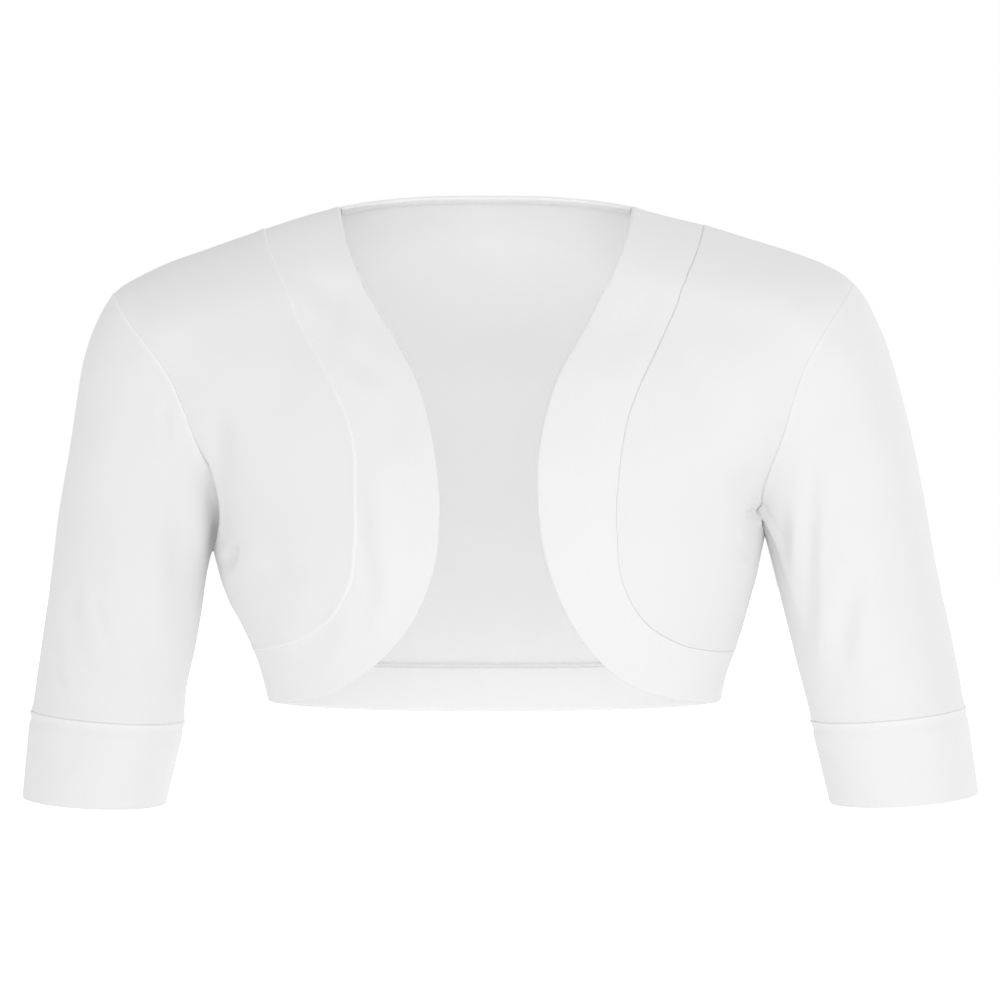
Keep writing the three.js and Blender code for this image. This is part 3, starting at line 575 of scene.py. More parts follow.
class SleeveForm:
    """The form of one sleeve and its cuff.

    Its rings turn from the armhole round to the cuff about the underarm. Turn 0 is the outer
    side, a quarter the front, half the underarm and three quarters the back.
    """

    def __init__(self, side: Side) -> None:
        """Lays the sleeve's outer and inner lines."""
        self.side = side
        self.outer = Path(side.sleeve_outer)
        self.inner = Path(side.sleeve_inner)

    def bare(self, turn: Array, share: Array) -> Array:
        """The uncreased sleeve at a turn and a share of its length."""
        turn = np.mod(turn, 2 * math.pi)
        side = self.side
        outer, inner = self.outer(share), self.inner(share)
        spot = (outer + inner) / 2 + (outer - inner) / 2 * np.cos(turn)[..., None]
        start, _ = FORM.armhole(side, turn)
        top, bottom = self.outer.points[0], self.inner.points[0]
        line_x = mix(bottom[0], top[0], (start[..., 2] - bottom[1]) / (top[1] - bottom[1]))
        fade = (1 - share) ** SLEEVE_FADE
        x = spot[..., 0] + (side.sign * start[..., 0] - line_x) * fade
        curve = -SLEEVE_DEPTH * np.sin(turn)
        y = mix(curve, start[..., 1], fade) + SLEEVE_SET_BACK * share**2
        z = spot[..., 1] + SLEEVE_LEAN * share * curve
        return np.stack([side.sign * x, y, z], axis=-1)

    def cuff(self, turn: Array, share: Array) -> Array:
        """The cuff's line at a turn, where share goes from the sleeve's end to its own."""
        top = self.bare(turn, np.ones(np.shape(turn)))
        outer, inner = np.array(self.side.cuff_outer), np.array(self.side.cuff_inner)
        spot = (outer + inner) / 2 + (outer - inner) / 2 * np.cos(turn)[..., None]
        curve = -SLEEVE_DEPTH * np.sin(turn)
        low = [self.side.sign * spot[..., 0], curve + CUFF_SET_BACK, spot[..., 1] + SLEEVE_LEAN * curve]
        return mix(top, np.stack(low, axis=-1), share[..., None])

    def normal(self, surface: Callable[[Array, Array], Array], turn: Array, share: Array) -> Array:
        """The way out of a surface of this sleeve, from its own slopes."""
        low, high = np.maximum(0, share - SURFACE_STEP), np.minimum(1, share + SURFACE_STEP)
        around = surface(turn + SURFACE_STEP, share) - surface(turn - SURFACE_STEP, share)
        along = surface(turn, high) - surface(turn, low)
        return unit(np.cross(around, along)) * self.side.sign

    def drawn_in(self, turn: Array) -> tuple[Array, Array, Array]:
        """How far the seam's tucks move it under the front and inwards, and the way out."""
        way_out, _ = self.mitre(turn)
        before, _ = FORM.armhole(self.side, np.maximum(0, turn - SURFACE_STEP))
        after, _ = FORM.armhole(self.side, np.minimum(math.pi, turn + SURFACE_STEP))
        into = unit(np.cross(after - before, way_out)) * self.side.sign
        inside = np.clip((math.pi - turn) / TUCK_END, 0, 1)
        inside = inside**2 * (3 - 2 * inside)
        under, deep = np.zeros(way_out.shape), np.zeros(way_out.shape)
        for tuck in self.side.tucks:
            share = inside * np.exp(-(((turn - tuck.turn) / tuck.spread) ** 2))
            under += share[..., None] * into * tuck.under
            deep -= share[..., None] * way_out * tuck.deep
        return under, deep, way_out

    def mitre(self, turn: Array) -> tuple[Array, Array]:
        """The shared way through the cloth at the armhole seam, and its lengthening."""
        _, body = FORM.armhole(self.side, np.mod(turn, 2 * math.pi))
        total = body + self.normal(self.bare, turn, np.zeros(np.shape(turn)))
        lean = np.linalg.norm(total, axis=-1) / 2
        return unit(total), np.minimum(SHARPEST_MITRE, 1 / np.maximum(lean, TINY))


def with_edges(low: float, high: float, count: int, length: float, reach: float) -> Array:
    """Steps from low to high that lie closer near both ends, where edges are rounded.

    Args:
        low: First value.
        high: Last value.
        count: Number of even steps.
        length: The stretch's length in millimetres.
        reach: How far from an end the edge is rounded, in millimetres.

    Returns:
        The values in rising order.
    """
    near = np.array([0.12, 0.35, 0.65, 1.0]) * reach / length
    even = np.linspace(0, 1, count + 1)
    even = even[(even > 1.5 * near[-1]) & (even < 1 - 1.5 * near[-1])]
    shares = np.concatenate([[0], near, even, 1 - near[::-1], [1]])
    return low + (high - low) * shares


@dataclass
class Grid:
    """A stretch of cloth as rows and columns of outer points with the way out at each.

    stretch lengthens the wall at mitred seams, and grain gives the place in the knit, across
    and along the wales, in millimetres.
    """

    points: Array
    normals: Array
    stretch: Array
    grain: Array
    is_ring: bool = False

    def reach(self, axis: int, from_end: bool) -> Array:
        """Each place's distance from the grid's first or last row (0) or column (1)."""
        steps = np.linalg.norm(np.diff(self.points, axis=axis), axis=-1)
        pad = [(1, 0) if i == axis else (0, 0) for i in range(2)]
        distance = np.pad(np.cumsum(steps, axis=axis), pad)
        if not from_end:
            return distance
        return np.take(distance, [-1], axis=axis) - distance

    def line(self, axis: int, index: int) -> "Seam":
        """The seam line along one row (0) or column (1), with the way into the cloth."""
        take = lambda array, i: np.take(array, i, axis=axis)
        points, normals = take(self.points, index), take(self.normals, index)
        inwards = take(self.points, 5 if index >= 0 else -6) - points
        inwards = inwards - normals * np.sum(inwards * normals, axis=-1, keepdims=True)
        along = unit(np.gradient(points, axis=0))
        inwards = inwards - along * np.sum(inwards * along, axis=-1, keepdims=True)
        return Seam(points, normals, unit(inwards), self.is_ring and axis == 0)


@dataclass
class Seam:
    """A line on the cloth's outer side, with the way out and the way into the piece."""

    points: Array
    normals: Array
    inwards: Array
    is_ring: bool = False

    def part(self, first: int, last: int | None) -> "Seam":
        """The stretch of this line between two of its points."""
        cut = slice(first, last)
        return Seam(self.points[cut], self.normals[cut], self.inwards[cut], False)

    def moved(self, into: float, out: float) -> "Seam":
        """This line moved into the piece and out of the cloth."""
        points = self.points + self.inwards * into + self.normals * out
        return Seam(points, self.normals, self.inwards, self.is_ring)


@dataclass(frozen=True)
class Ridge:
    """The raised rim of a seam whose allowance is pressed under this side of it.

    white is a painted highlight: how much lighter the cloth's colour is made along the rim, where light catches it.
    """

    side: str
    reach: float
    height: float
    white: float = 0.0

    def depth(self, distance: Array) -> Array:
        """How far in the cloth lies at a distance from the edge, so less than nothing here."""
        share = distance / self.reach
        return -self.height * share * np.exp(1 - share)


@dataclass(frozen=True)
class Groove:
    """A soft line pressed into the cloth beside an edge, as by a row of stitches.

    side is 'top', 'bottom', 'first' or 'last', at a distance from that edge.
    """

    side: str
    distance: float
    width: float
    deepest: float

    def depth(self, distance: Array) -> Array:
        """How far in the cloth lies at a distance from the edge."""
        return self.deepest * np.exp(-(((distance - self.distance) / self.width) ** 2))


def edge_roll(distance: Array, reach: float) -> Array:
    """A quarter-round from 1 at an edge to 0 at its reach."""
    rest = np.clip(1 - distance / reach, 0, 1)
    return 1 - np.sqrt(1 - rest**2)


def make_object(
    name: str,
    vertices: Array,
    faces: Array,
    grain: Array | None = None,
    white: Array | None = None,
) -> bpy.types.Object:
    """Makes a smooth mesh object in metres from points in millimetres.

    Args:
        name: The piece's name.
        vertices: Its points.
        faces: Its quads, as rows of four point numbers.
        grain: The knit's place at each corner of each face, or None.
        white: The painted highlight at each point, how much lighter it is than its finish, or None.

    Returns:
        The object, linked into the scene, with its faces pointing outwards.
    """
    corners = vertices[faces]
    volume = np.einsum(
        "ij,ij->", corners[:, 0], np.cross(corners[:, 1], corners[:, 2])
    ) + np.einsum("ij,ij->", corners[:, 0], np.cross(corners[:, 2], corners[:, 3]))
    if volume < 0:
        faces = faces[:, ::-1]
        grain = None if grain is None else grain[:, ::-1]
    mesh = bpy.data.meshes.new(name + "_looks")
    mesh.vertices.add(len(vertices))
    mesh.vertices.foreach_set("co", (vertices * MM).astype(np.float32).ravel())
    mesh.loops.add(faces.size)
    mesh.loops.foreach_set("vertex_index", faces.ravel())
    mesh.polygons.add(len(faces))
    mesh.polygons.foreach_set("loop_start", np.arange(0, faces.size, 4))
    if grain is not None:
        layer = mesh.uv_layers.new(name=KNIT_MAP)
        layer.uv.foreach_set("vector", (grain * MM).astype(np.float32).ravel())
    if white is not None:
        layer = mesh.attributes.new(RIM_HIGHLIGHT_MAP, "FLOAT", "POINT")
        layer.data.foreach_set("value", white.astype(np.float32).ravel())
    mesh.polygons.foreach_set("use_smooth", np.ones(len(faces), bool))
    mesh.update(calc_edges=True)
    mesh.validate()
    thing = bpy.data.objects.new(name + "_looks", mesh)
    bpy.context.scene.collection.objects.link(thing)
    return thing


def weld(thing: bpy.types.Object) -> None:
    """Joins points that coincide and leaves out the faces that shrink away with them."""
    work = bmesh.new()
    work.from_mesh(thing.data)
    bmesh.ops.remove_doubles(work, verts=work.verts, dist=1e-6)
    bmesh.ops.dissolve_degenerate(work, edges=work.edges, dist=1e-7)
    work.to_mesh(thing.data)
    work.free()
    thing.data.set_sharp_from_angle(angle=SHARP_CORNER)


def wall(
    name: str,
    grid: Grid,
    thickness: float,
    edges: dict[str, Edge],
    grooves: Sequence[Groove | Ridge] = (),
    pressed: Array | float = 0.0,
) -> bpy.types.Object:
    """Closes a grid into a thin wall of cloth with finished edges.

    Args:
        name: The piece's name.
        grid: Its places.
        thickness: The cloth's thickness.
        edges: The finish of its 'top', 'bottom', 'first' and 'last' edges.
        grooves: Lines pressed into it, and raised seam rims, which also paint highlights into its colour.
        pressed: A further depth at each place.

    Returns:
        The piece.
    """
    reach = {
        "top": grid.reach(0, False),
        "bottom": grid.reach(0, True),
        "first": grid.reach(1, False),
        "last": grid.reach(1, True),
    }
    outer, inner = np.zeros(grid.points.shape[:2]), np.zeros(grid.points.shape[:2])
    for side, edge in edges.items():
        outer_share, inner_share, far = edge.value
        roll = edge_roll(reach[side], far * thickness) * thickness
        outer = np.maximum(outer, outer_share * roll)
        inner = np.maximum(inner, inner_share * roll)
    outer = np.maximum(outer, pressed)
    # Ridges also paint a highlight into the colour along their rims; white holds it at each point.
    white = np.zeros(outer.shape)
    for groove in grooves:
        distance = reach[groove.side]
        outer = outer + groove.depth(distance)
        if isinstance(groove, Ridge):
            white = white + groove.white * np.exp(-((distance / groove.reach) ** 2))
    through = grid.normals * grid.stretch[..., None]
    outside = grid.points - through * outer[..., None]
    inside = grid.points - through * (thickness - inner)[..., None]
    rows, columns = outer.shape
    number = np.arange(rows * columns).reshape(rows, columns)
    place = grid.grain
    if grid.is_ring:
        number = np.concatenate([number, number[:, :1]], axis=1)
    far_side = number + rows * columns

    def cells(index: Array) -> list[Array]:
        """The four corners of each cell of a grid."""
        return [index[:-1, :-1], index[1:, :-1], index[1:, 1:], index[:-1, 1:]]

    faces, grain = [], []

    def add(corners: list[Array], places: list[Array]) -> None:
        """Adds a layer of quads with their place in the knit."""
        faces.append(np.stack([corner.ravel() for corner in corners], axis=-1))
        grain.append(np.stack([spot.reshape(-1, 2) for spot in places], axis=1))

    add(cells(number), cells(place))
    add(cells(far_side)[::-1], cells(place)[::-1])
    for row, flip in ((0, 1), (-1, -1)):
        near, far, spot = number[row], far_side[row], place[row]
        corners = [near[:-1], near[1:], far[1:], far[:-1]][::flip]
        add(corners, [spot[:-1], spot[1:], spot[1:], spot[:-1]][::flip])
    if not grid.is_ring:
        for column, flip in ((0, -1), (-1, 1)):
            near, far, spot = number[:, column], far_side[:, column], place[:, column]
            corners = [near[:-1], near[1:], far[1:], far[:-1]][::flip]
            add(corners, [spot[:-1], spot[1:], spot[1:], spot[:-1]][::flip])
    vertices = np.concatenate([outside.reshape(-1, 3), inside.reshape(-1, 3)])
    white = np.concatenate([white, np.zeros(white.shape)])
    thing = make_object(name, vertices, np.concatenate(faces), np.concatenate(grain), white)
    weld(thing)
    return thing


def strip(seam: Seam, width: float, thickness: float, lift: float) -> tuple[Array, Array]:
    """A narrow flat strip of cloth that lies inside a seam, with rounded corners.

    Args:
        seam: The line that it starts from, on the outer side of the cloth.
        width: How far it reaches into the piece.
        thickness: Its thickness.
        lift: How far inside the outer side it lies.

    Returns:
        Its points and its quads.
    """
    bevel = thickness / 3
    section = [
        (0, bevel), (0, thickness - bevel), (bevel, thickness), (width - bevel, thickness),
        (width, thickness - bevel), (width, bevel), (width - bevel, 0), (bevel, 0),
    ]
    rings = [seam.moved(into, -lift - deep).points for into, deep in section]
    points = np.stack(rings, axis=1)
    count, size = points.shape[:2]
    number = np.arange(count * size).reshape(count, size)
    closed = np.concatenate([number, number[:, :1]], axis=1)
    if seam.is_ring:
        closed = np.concatenate([closed, closed[:1]], axis=0)
    corners = [closed[:-1, :-1], closed[1:, :-1], closed[1:, 1:], closed[:-1, 1:]]
    quads = np.stack([corner.ravel() for corner in corners], axis=-1)
    if seam.is_ring:
        return points.reshape(-1, 3), quads
    ends = []
    for ring in (number[0], number[-1][::-1]):
        ends += [[ring[0], ring[1], ring[2], ring[7]], [ring[7], ring[2], ring[3], ring[6]]]
        ends += [[ring[6], ring[3], ring[4], ring[5]]]
    return points.reshape(-1, 3), np.concatenate([quads, np.array(ends)])


class KnitPlace:
    """Where a place on the body lies in the knit: the way round the body, and the height."""

    def __init__(self, side: Side, is_front: bool, levels: int = 90, steps: int = 64) -> None:
        """Measures the form's level lines.

        Args:
            side: The side of the jacket.
            is_front: True for the front of it.
            levels: How many heights are measured.
            steps: How many steps each level line has.
        """
        self.is_front = is_front
        self.heights = np.linspace(-280, 40, levels)
        self.turns = np.linspace(0, math.pi / 2, steps)
        turn, z = np.meshgrid(self.turns, self.heights)
        angle = turn if is_front else math.pi - turn
        points = FORM.point(side, np.array(is_front), angle, z)
        lengths = np.linalg.norm(np.diff(points, axis=1), axis=-1)
        self.reach = np.pad(np.cumsum(lengths, axis=1), [(0, 0), (1, 0)]) * side.sign

    def __call__(self, angle: Array, z: Array) -> Array:
        """The place in the knit, across and along the wales."""
        turn = angle if self.is_front else math.pi - angle
        row = np.clip(np.interp(z, self.heights, np.arange(len(self.heights))), 0, len(self.heights) - 1.001)
        column = np.interp(turn, self.turns, np.arange(len(self.turns)))
        column = np.clip(column, 0, len(self.turns) - 1.001)
        i, j = row.astype(int), column.astype(int)
        low = mix(self.reach[i, j], self.reach[i, j + 1], column - j)
        high = mix(self.reach[i + 1, j], self.reach[i + 1, j + 1], column - j)
        return np.stack([mix(low, high, row - i), z], axis=-1)


def flat(side: Side, is_front: bool, x: Array, z: Array) -> Array:
    """A place in the flat of the body form: the angle in millimetres round, and the height."""
    x, z = np.broadcast_arrays(np.asarray(x, float), np.asarray(z, float))
    return np.stack([FORM.angle(side, np.array(is_front), x, z) * AROUND, z], axis=-1)


def outer_outline(side: Side, is_front: bool, end_z: float, row: Array) -> Array:
    """The armhole seam, and the side seam below it, at rows of the body."""
    low = mix(side.armhole_bottom, end_z, (row - ARMHOLE_ROWS) / SIDE_ROWS)
    below = np.stack([np.full(np.shape(row), SIDE_SEAM), low], axis=-1)
    z = FORM.armhole_height(side, np.minimum(row, ARMHOLE_ROWS) / ARMHOLE_ROWS * math.pi)
    above = flat(side, is_front, FORM.side[side.name](z), z)
    return np.where((row >= ARMHOLE_ROWS)[..., None], below, above)


def band_share(row: Array) -> Array:
    """The share of the band's length that a row of the fronts and bands reaches."""
    upper = BAND_SHARE_AT_ARMPIT * (1 - np.cos(row / ARMHOLE_ROWS * math.pi / 2))
    lower = mix(BAND_SHARE_AT_ARMPIT, 1, (row - ARMHOLE_ROWS) / SIDE_ROWS)
    return np.where(row <= ARMHOLE_ROWS, upper, lower)


def band_outlines(side: Side) -> tuple[Path, Path]:
    """The free edge of a front band, and the seam that joins it to the front."""
    edge, seam = np.array(side.band_edge, float), np.array(side.band_seam, float)
    top = float(FORM.shoulder[side.name](np.array(side.band_top)))
    edge_points = [
        flat(side, True, NECK_HALF, NECK_SIDE_Z)[None],
        flat(side, True, edge[:, 0], edge[:, 1]),
        [[SIDE_SEAM, HEM_SIDE_Z]],
    ]
    seam_points = [
        flat(side, True, side.band_top, top)[None],
        flat(side, True, seam[:, 0], seam[:, 1]),
        [[SIDE_SEAM, BAND_END_Z]],
    ]
    return Path(np.concatenate(edge_points)), Path(np.concatenate(seam_points))


def front_shoulder(side: Side, x: Array) -> Array:
    """A place on the shoulder line in the flat of the front."""
    return flat(side, True, x, FORM.shoulder[side.name](x))


def body_grid(side: Side, is_front: bool, spot: Array, row: Array) -> Grid:
    """Lays a grid of the cloth on the body form.

    Args:
        side: The side of the jacket.
        is_front: True for the front of it.
        spot: The places in the flat of the form.
        row: The row of the body that each place has.

    Returns:
        The grid, with no mitred edge yet.
    """
    angle, z = spot[..., 0] / AROUND, spot[..., 1]
    points, normals = FORM.place(side, np.array(is_front), angle, z)
    grain = KnitPlace(side, is_front)(angle, z)
    return Grid(points, normals, np.ones(row.shape), grain)


def mitre_armhole(grid: Grid, column: int, sleeve: SleeveForm, row: Array, is_front: bool) -> None:
    """Gives a panel's armhole edge the way through the cloth that the sleeve has there."""
    above = row <= ARMHOLE_ROWS
    turn = row[above] / ARMHOLE_ROWS * math.pi
    normal, stretch = sleeve.mitre(turn if is_front else 2 * math.pi - turn)
    grid.normals[above, column] = normal
    grid.stretch[above, column] = stretch


@dataclass(frozen=True)
class KnitFinish:
    """White knit jersey.

    wale and course are the knit's pitches across and along, in millimetres. relief is how
    strongly its loops catch the light, and mottle how far its white varies.
    """

    name: str
    white: float
    wale: float
    course: float
    relief: float
    mottle: float = 0.015
    roughness: float = 0.86
    sheen: float = 0.12


@dataclass(frozen=True)
class PlainFinish:
    """A plain matt finish with a little unevenness, for thread and the floor."""

    name: str
    white: float
    mottle: float
    scale: float
    roughness: float
    glow: float = 0.0


PANEL_KNIT = KnitFinish("white_jersey", 0.86, 1.05, 1.35, 0.22)
BAND_KNIT = KnitFinish("white_folded_jersey", 0.875, 1.9, 1.6, 0.32)
THREAD = PlainFinish("white_thread", 0.84, 0.03, 900.0, 0.6)
FLOOR = PlainFinish("pale_floor", 0.9, 0.004, 3.0, 0.9, 0.6)


class NodeTree:
    """A small helper that adds nodes to a tree and joins them."""

    def __init__(self, tree: bpy.types.NodeTree) -> None:
        """Takes the tree to add to."""
        self.tree = tree

    def add(self, kind: str, **settings: object) -> bpy.types.Node:
        """Adds a node and sets its properties by name."""
        node = self.tree.nodes.new(kind)
        for name, value in settings.items():
            setattr(node, name, value)
        return node

    def join(self, source: bpy.types.NodeSocket, target: bpy.types.NodeSocket) -> None:
        """Joins an output to an input."""
        self.tree.links.new(source, target)

    def feed(self, target: bpy.types.NodeSocket, value: object) -> None:
        """Gives an input a number or another node's output."""
        if isinstance(value, bpy.types.NodeSocket):
            self.join(value, target)
        else:
            target.default_value = value

    def math(self, operation: str, *values: object) -> bpy.types.NodeSocket:
        """A sum, product or other operation of numbers or outputs."""
        node = self.add("ShaderNodeMath", operation=operation)
        for socket, value in zip(node.inputs, values):
            self.feed(socket, value)
        return node.outputs[0]


def make_group(name: str, kind: str, inputs: Sequence[tuple], outputs: Sequence[tuple]) -> tuple:
    """Makes an empty node group with named sockets.

    Args:
        name: The group's name.
        kind: 'ShaderNodeTree' or 'GeometryNodeTree'.
        inputs: Name, socket type and default value of each input.
        outputs: Name and socket type of each output.

    Returns:
        The group, a helper for its tree, its input node and its output node.
    """
    group = bpy.data.node_groups.new(name, kind)
    for label, socket, default in inputs:
        made = group.interface.new_socket(label, in_out="INPUT", socket_type=socket)
        if default is not None:
            made.default_value = default
    for label, socket in outputs:
        group.interface.new_socket(label, in_out="OUTPUT", socket_type=socket)
    nodes = NodeTree(group)
    return group, nodes, nodes.add("NodeGroupInput"), nodes.add("NodeGroupOutput")


def knit_group() -> bpy.types.NodeTree:
    """The relief of plain knitting: upright wales of loops, a little uneven."""
    group, nodes, given, out = make_group(
        "knit_relief",
        "ShaderNodeTree",
        [
            ("Place", "NodeSocketVector", None),
            ("Wale pitch", "NodeSocketFloat", 0.001),
            ("Course pitch", "NodeSocketFloat", 0.0013),
        ],
        [("Height", "NodeSocketFloat")],
    )
    split = nodes.add("ShaderNodeSeparateXYZ")
    nodes.join(given.outputs["Place"], split.inputs[0])
    wander = nodes.add("ShaderNodeTexNoise", noise_dimensions="2D")
    nodes.join(given.outputs["Place"], wander.inputs["Vector"])
    wander.inputs["Scale"].default_value = 180.0
    wander.inputs["Detail"].default_value = 2.0
    shift = nodes.math("MULTIPLY", nodes.math("SUBTRACT", wander.outputs[0], 0.5), 0.9)
    across = nodes.math("DIVIDE", split.outputs["X"], given.outputs["Wale pitch"])
    across = nodes.math("ADD", across, shift)
    wave = nodes.math("COSINE", nodes.math("MULTIPLY", across, 2 * math.pi))
    ridge = nodes.math("MULTIPLY_ADD", wave, 0.5, 0.5)
    along = nodes.math("DIVIDE", split.outputs["Y"], given.outputs["Course pitch"])
    bent = nodes.math("MULTIPLY_ADD", ridge, 0.4, along)
    loops = nodes.math("COSINE", nodes.math("MULTIPLY", bent, 2 * math.pi))
    loops = nodes.math("MULTIPLY", nodes.math("MULTIPLY_ADD", loops, 0.5, 0.5), ridge)
    height = nodes.math("MULTIPLY_ADD", loops, 0.3, nodes.math("MULTIPLY", ridge, 0.7))
    nodes.join(height, out.inputs["Height"])
    return group


def tone_group() -> bpy.types.NodeTree:
    """A white that varies softly over the surface, with a mask for its roughness."""
    group, nodes, given, out = make_group(
        "soft_tone",
        "ShaderNodeTree",
        [
            ("Place", "NodeSocketVector", None),
            ("Scale", "NodeSocketFloat", 20.0),
            ("White", "NodeSocketFloat", 0.88),
            ("Mottle", "NodeSocketFloat", 0.015),
            ("Roughness", "NodeSocketFloat", 0.85),
        ],
        [("Color", "NodeSocketColor"), ("Roughness", "NodeSocketFloat")],
    )
    noise = nodes.add("ShaderNodeTexNoise", noise_dimensions="3D")
    nodes.join(given.outputs["Place"], noise.inputs["Vector"])
    nodes.join(given.outputs["Scale"], noise.inputs["Scale"])
    noise.inputs["Detail"].default_value = 4.0
    swing = nodes.math("SUBTRACT", noise.outputs[0], 0.5)
    tone = nodes.math("MULTIPLY_ADD", swing, given.outputs["Mottle"], given.outputs["White"])
    colour = nodes.add("ShaderNodeCombineColor")
    for socket in colour.inputs[:3]:
        nodes.join(tone, socket)
    nodes.join(colour.outputs[0], out.inputs["Color"])
    rough = nodes.math("MULTIPLY_ADD", swing, 0.1, given.outputs["Roughness"])
    nodes.join(rough, out.inputs["Roughness"])
    return group


class Wardrobe:
    """Makes each finish's material once."""

    def __init__(self) -> None:
        """Builds the shared node groups."""
        self.knit = knit_group()
        self.tone = tone_group()
        self.made: dict[str, bpy.types.Material] = {}

    def start(self, finish: KnitFinish | PlainFinish, scale: float) -> tuple:
        """A new material with its shader and its soft white.

        Args:
            finish: The finish.
            scale: How fine the white's unevenness is, in parts of a metre.

        Returns:
            The material, a helper for its tree, its shader and its object coordinates.
        """
        material = bpy.data.materials.new(finish.name)
        material.use_nodes = True
        nodes = NodeTree(material.node_tree)
        shader = material.node_tree.nodes["Principled BSDF"]
        place = nodes.add("ShaderNodeTexCoord").outputs["Object"]
        tone = nodes.add("ShaderNodeGroup", node_tree=self.tone)
        nodes.join(place, tone.inputs["Place"])
        tone.inputs["Scale"].default_value = scale
        # The rim attribute is a painted highlight along raised seam rims, added to the finish's white.
        rim = nodes.add("ShaderNodeAttribute", attribute_name=RIM_HIGHLIGHT_MAP).outputs["Fac"]
        nodes.join(nodes.math("ADD", rim, finish.white), tone.inputs["White"])
        tone.inputs["Mottle"].default_value = finish.mottle
        tone.inputs["Roughness"].default_value = finish.roughness
        nodes.join(tone.outputs["Color"], shader.inputs["Base Color"])
        nodes.join(tone.outputs["Roughness"], shader.inputs["Roughness"])
        shader.inputs["Specular IOR Level"].default_value = 0.25
        return material, nodes, shader, place

    def material(self, finish: KnitFinish | PlainFinish) -> bpy.types.Material:
        """The material of a finish."""
        if finish.name not in self.made:
            is_knit = isinstance(finish, KnitFinish)
            self.made[finish.name] = self.knitted(finish) if is_knit else self.plain(finish)
        return self.made[finish.name]

    def knitted(self, finish: KnitFinish) -> bpy.types.Material:
        """White knit, with its loops as a fine bump and a faint sheen."""
        material, nodes, shader, _ = self.start(finish, 22.0)
        shader.inputs["Sheen Weight"].default_value = finish.sheen
        shader.inputs["Sheen Roughness"].default_value = 0.5
        relief = nodes.add("ShaderNodeGroup", node_tree=self.knit)
        spot = nodes.add("ShaderNodeUVMap", uv_map=KNIT_MAP)
        nodes.join(spot.outputs[0], relief.inputs["Place"])
        relief.inputs["Wale pitch"].default_value = finish.wale * MM
        relief.inputs["Course pitch"].default_value = finish.course * MM
        bump = nodes.add("ShaderNodeBump")
        bump.inputs["Strength"].default_value = finish.relief
        bump.inputs["Distance"].default_value = 0.1 * MM
        nodes.join(relief.outputs["Height"], bump.inputs["Height"])
        nodes.join(bump.outputs[0], shader.inputs["Normal"])
        return material

    def plain(self, finish: PlainFinish) -> bpy.types.Material:
        """A plain white, with a glow for the floor."""
        material, nodes, shader, _ = self.start(finish, finish.scale)
        if finish.glow:
            seen = nodes.add("ShaderNodeLightPath").outputs["Is Camera Ray"]
            shader.inputs["Emission Color"].default_value = (1, 1, 1, 1)
            glow = nodes.math("MULTIPLY_ADD", seen, finish.glow, finish.glow / 3)
            nodes.join(glow, shader.inputs["Emission Strength"])
        return material


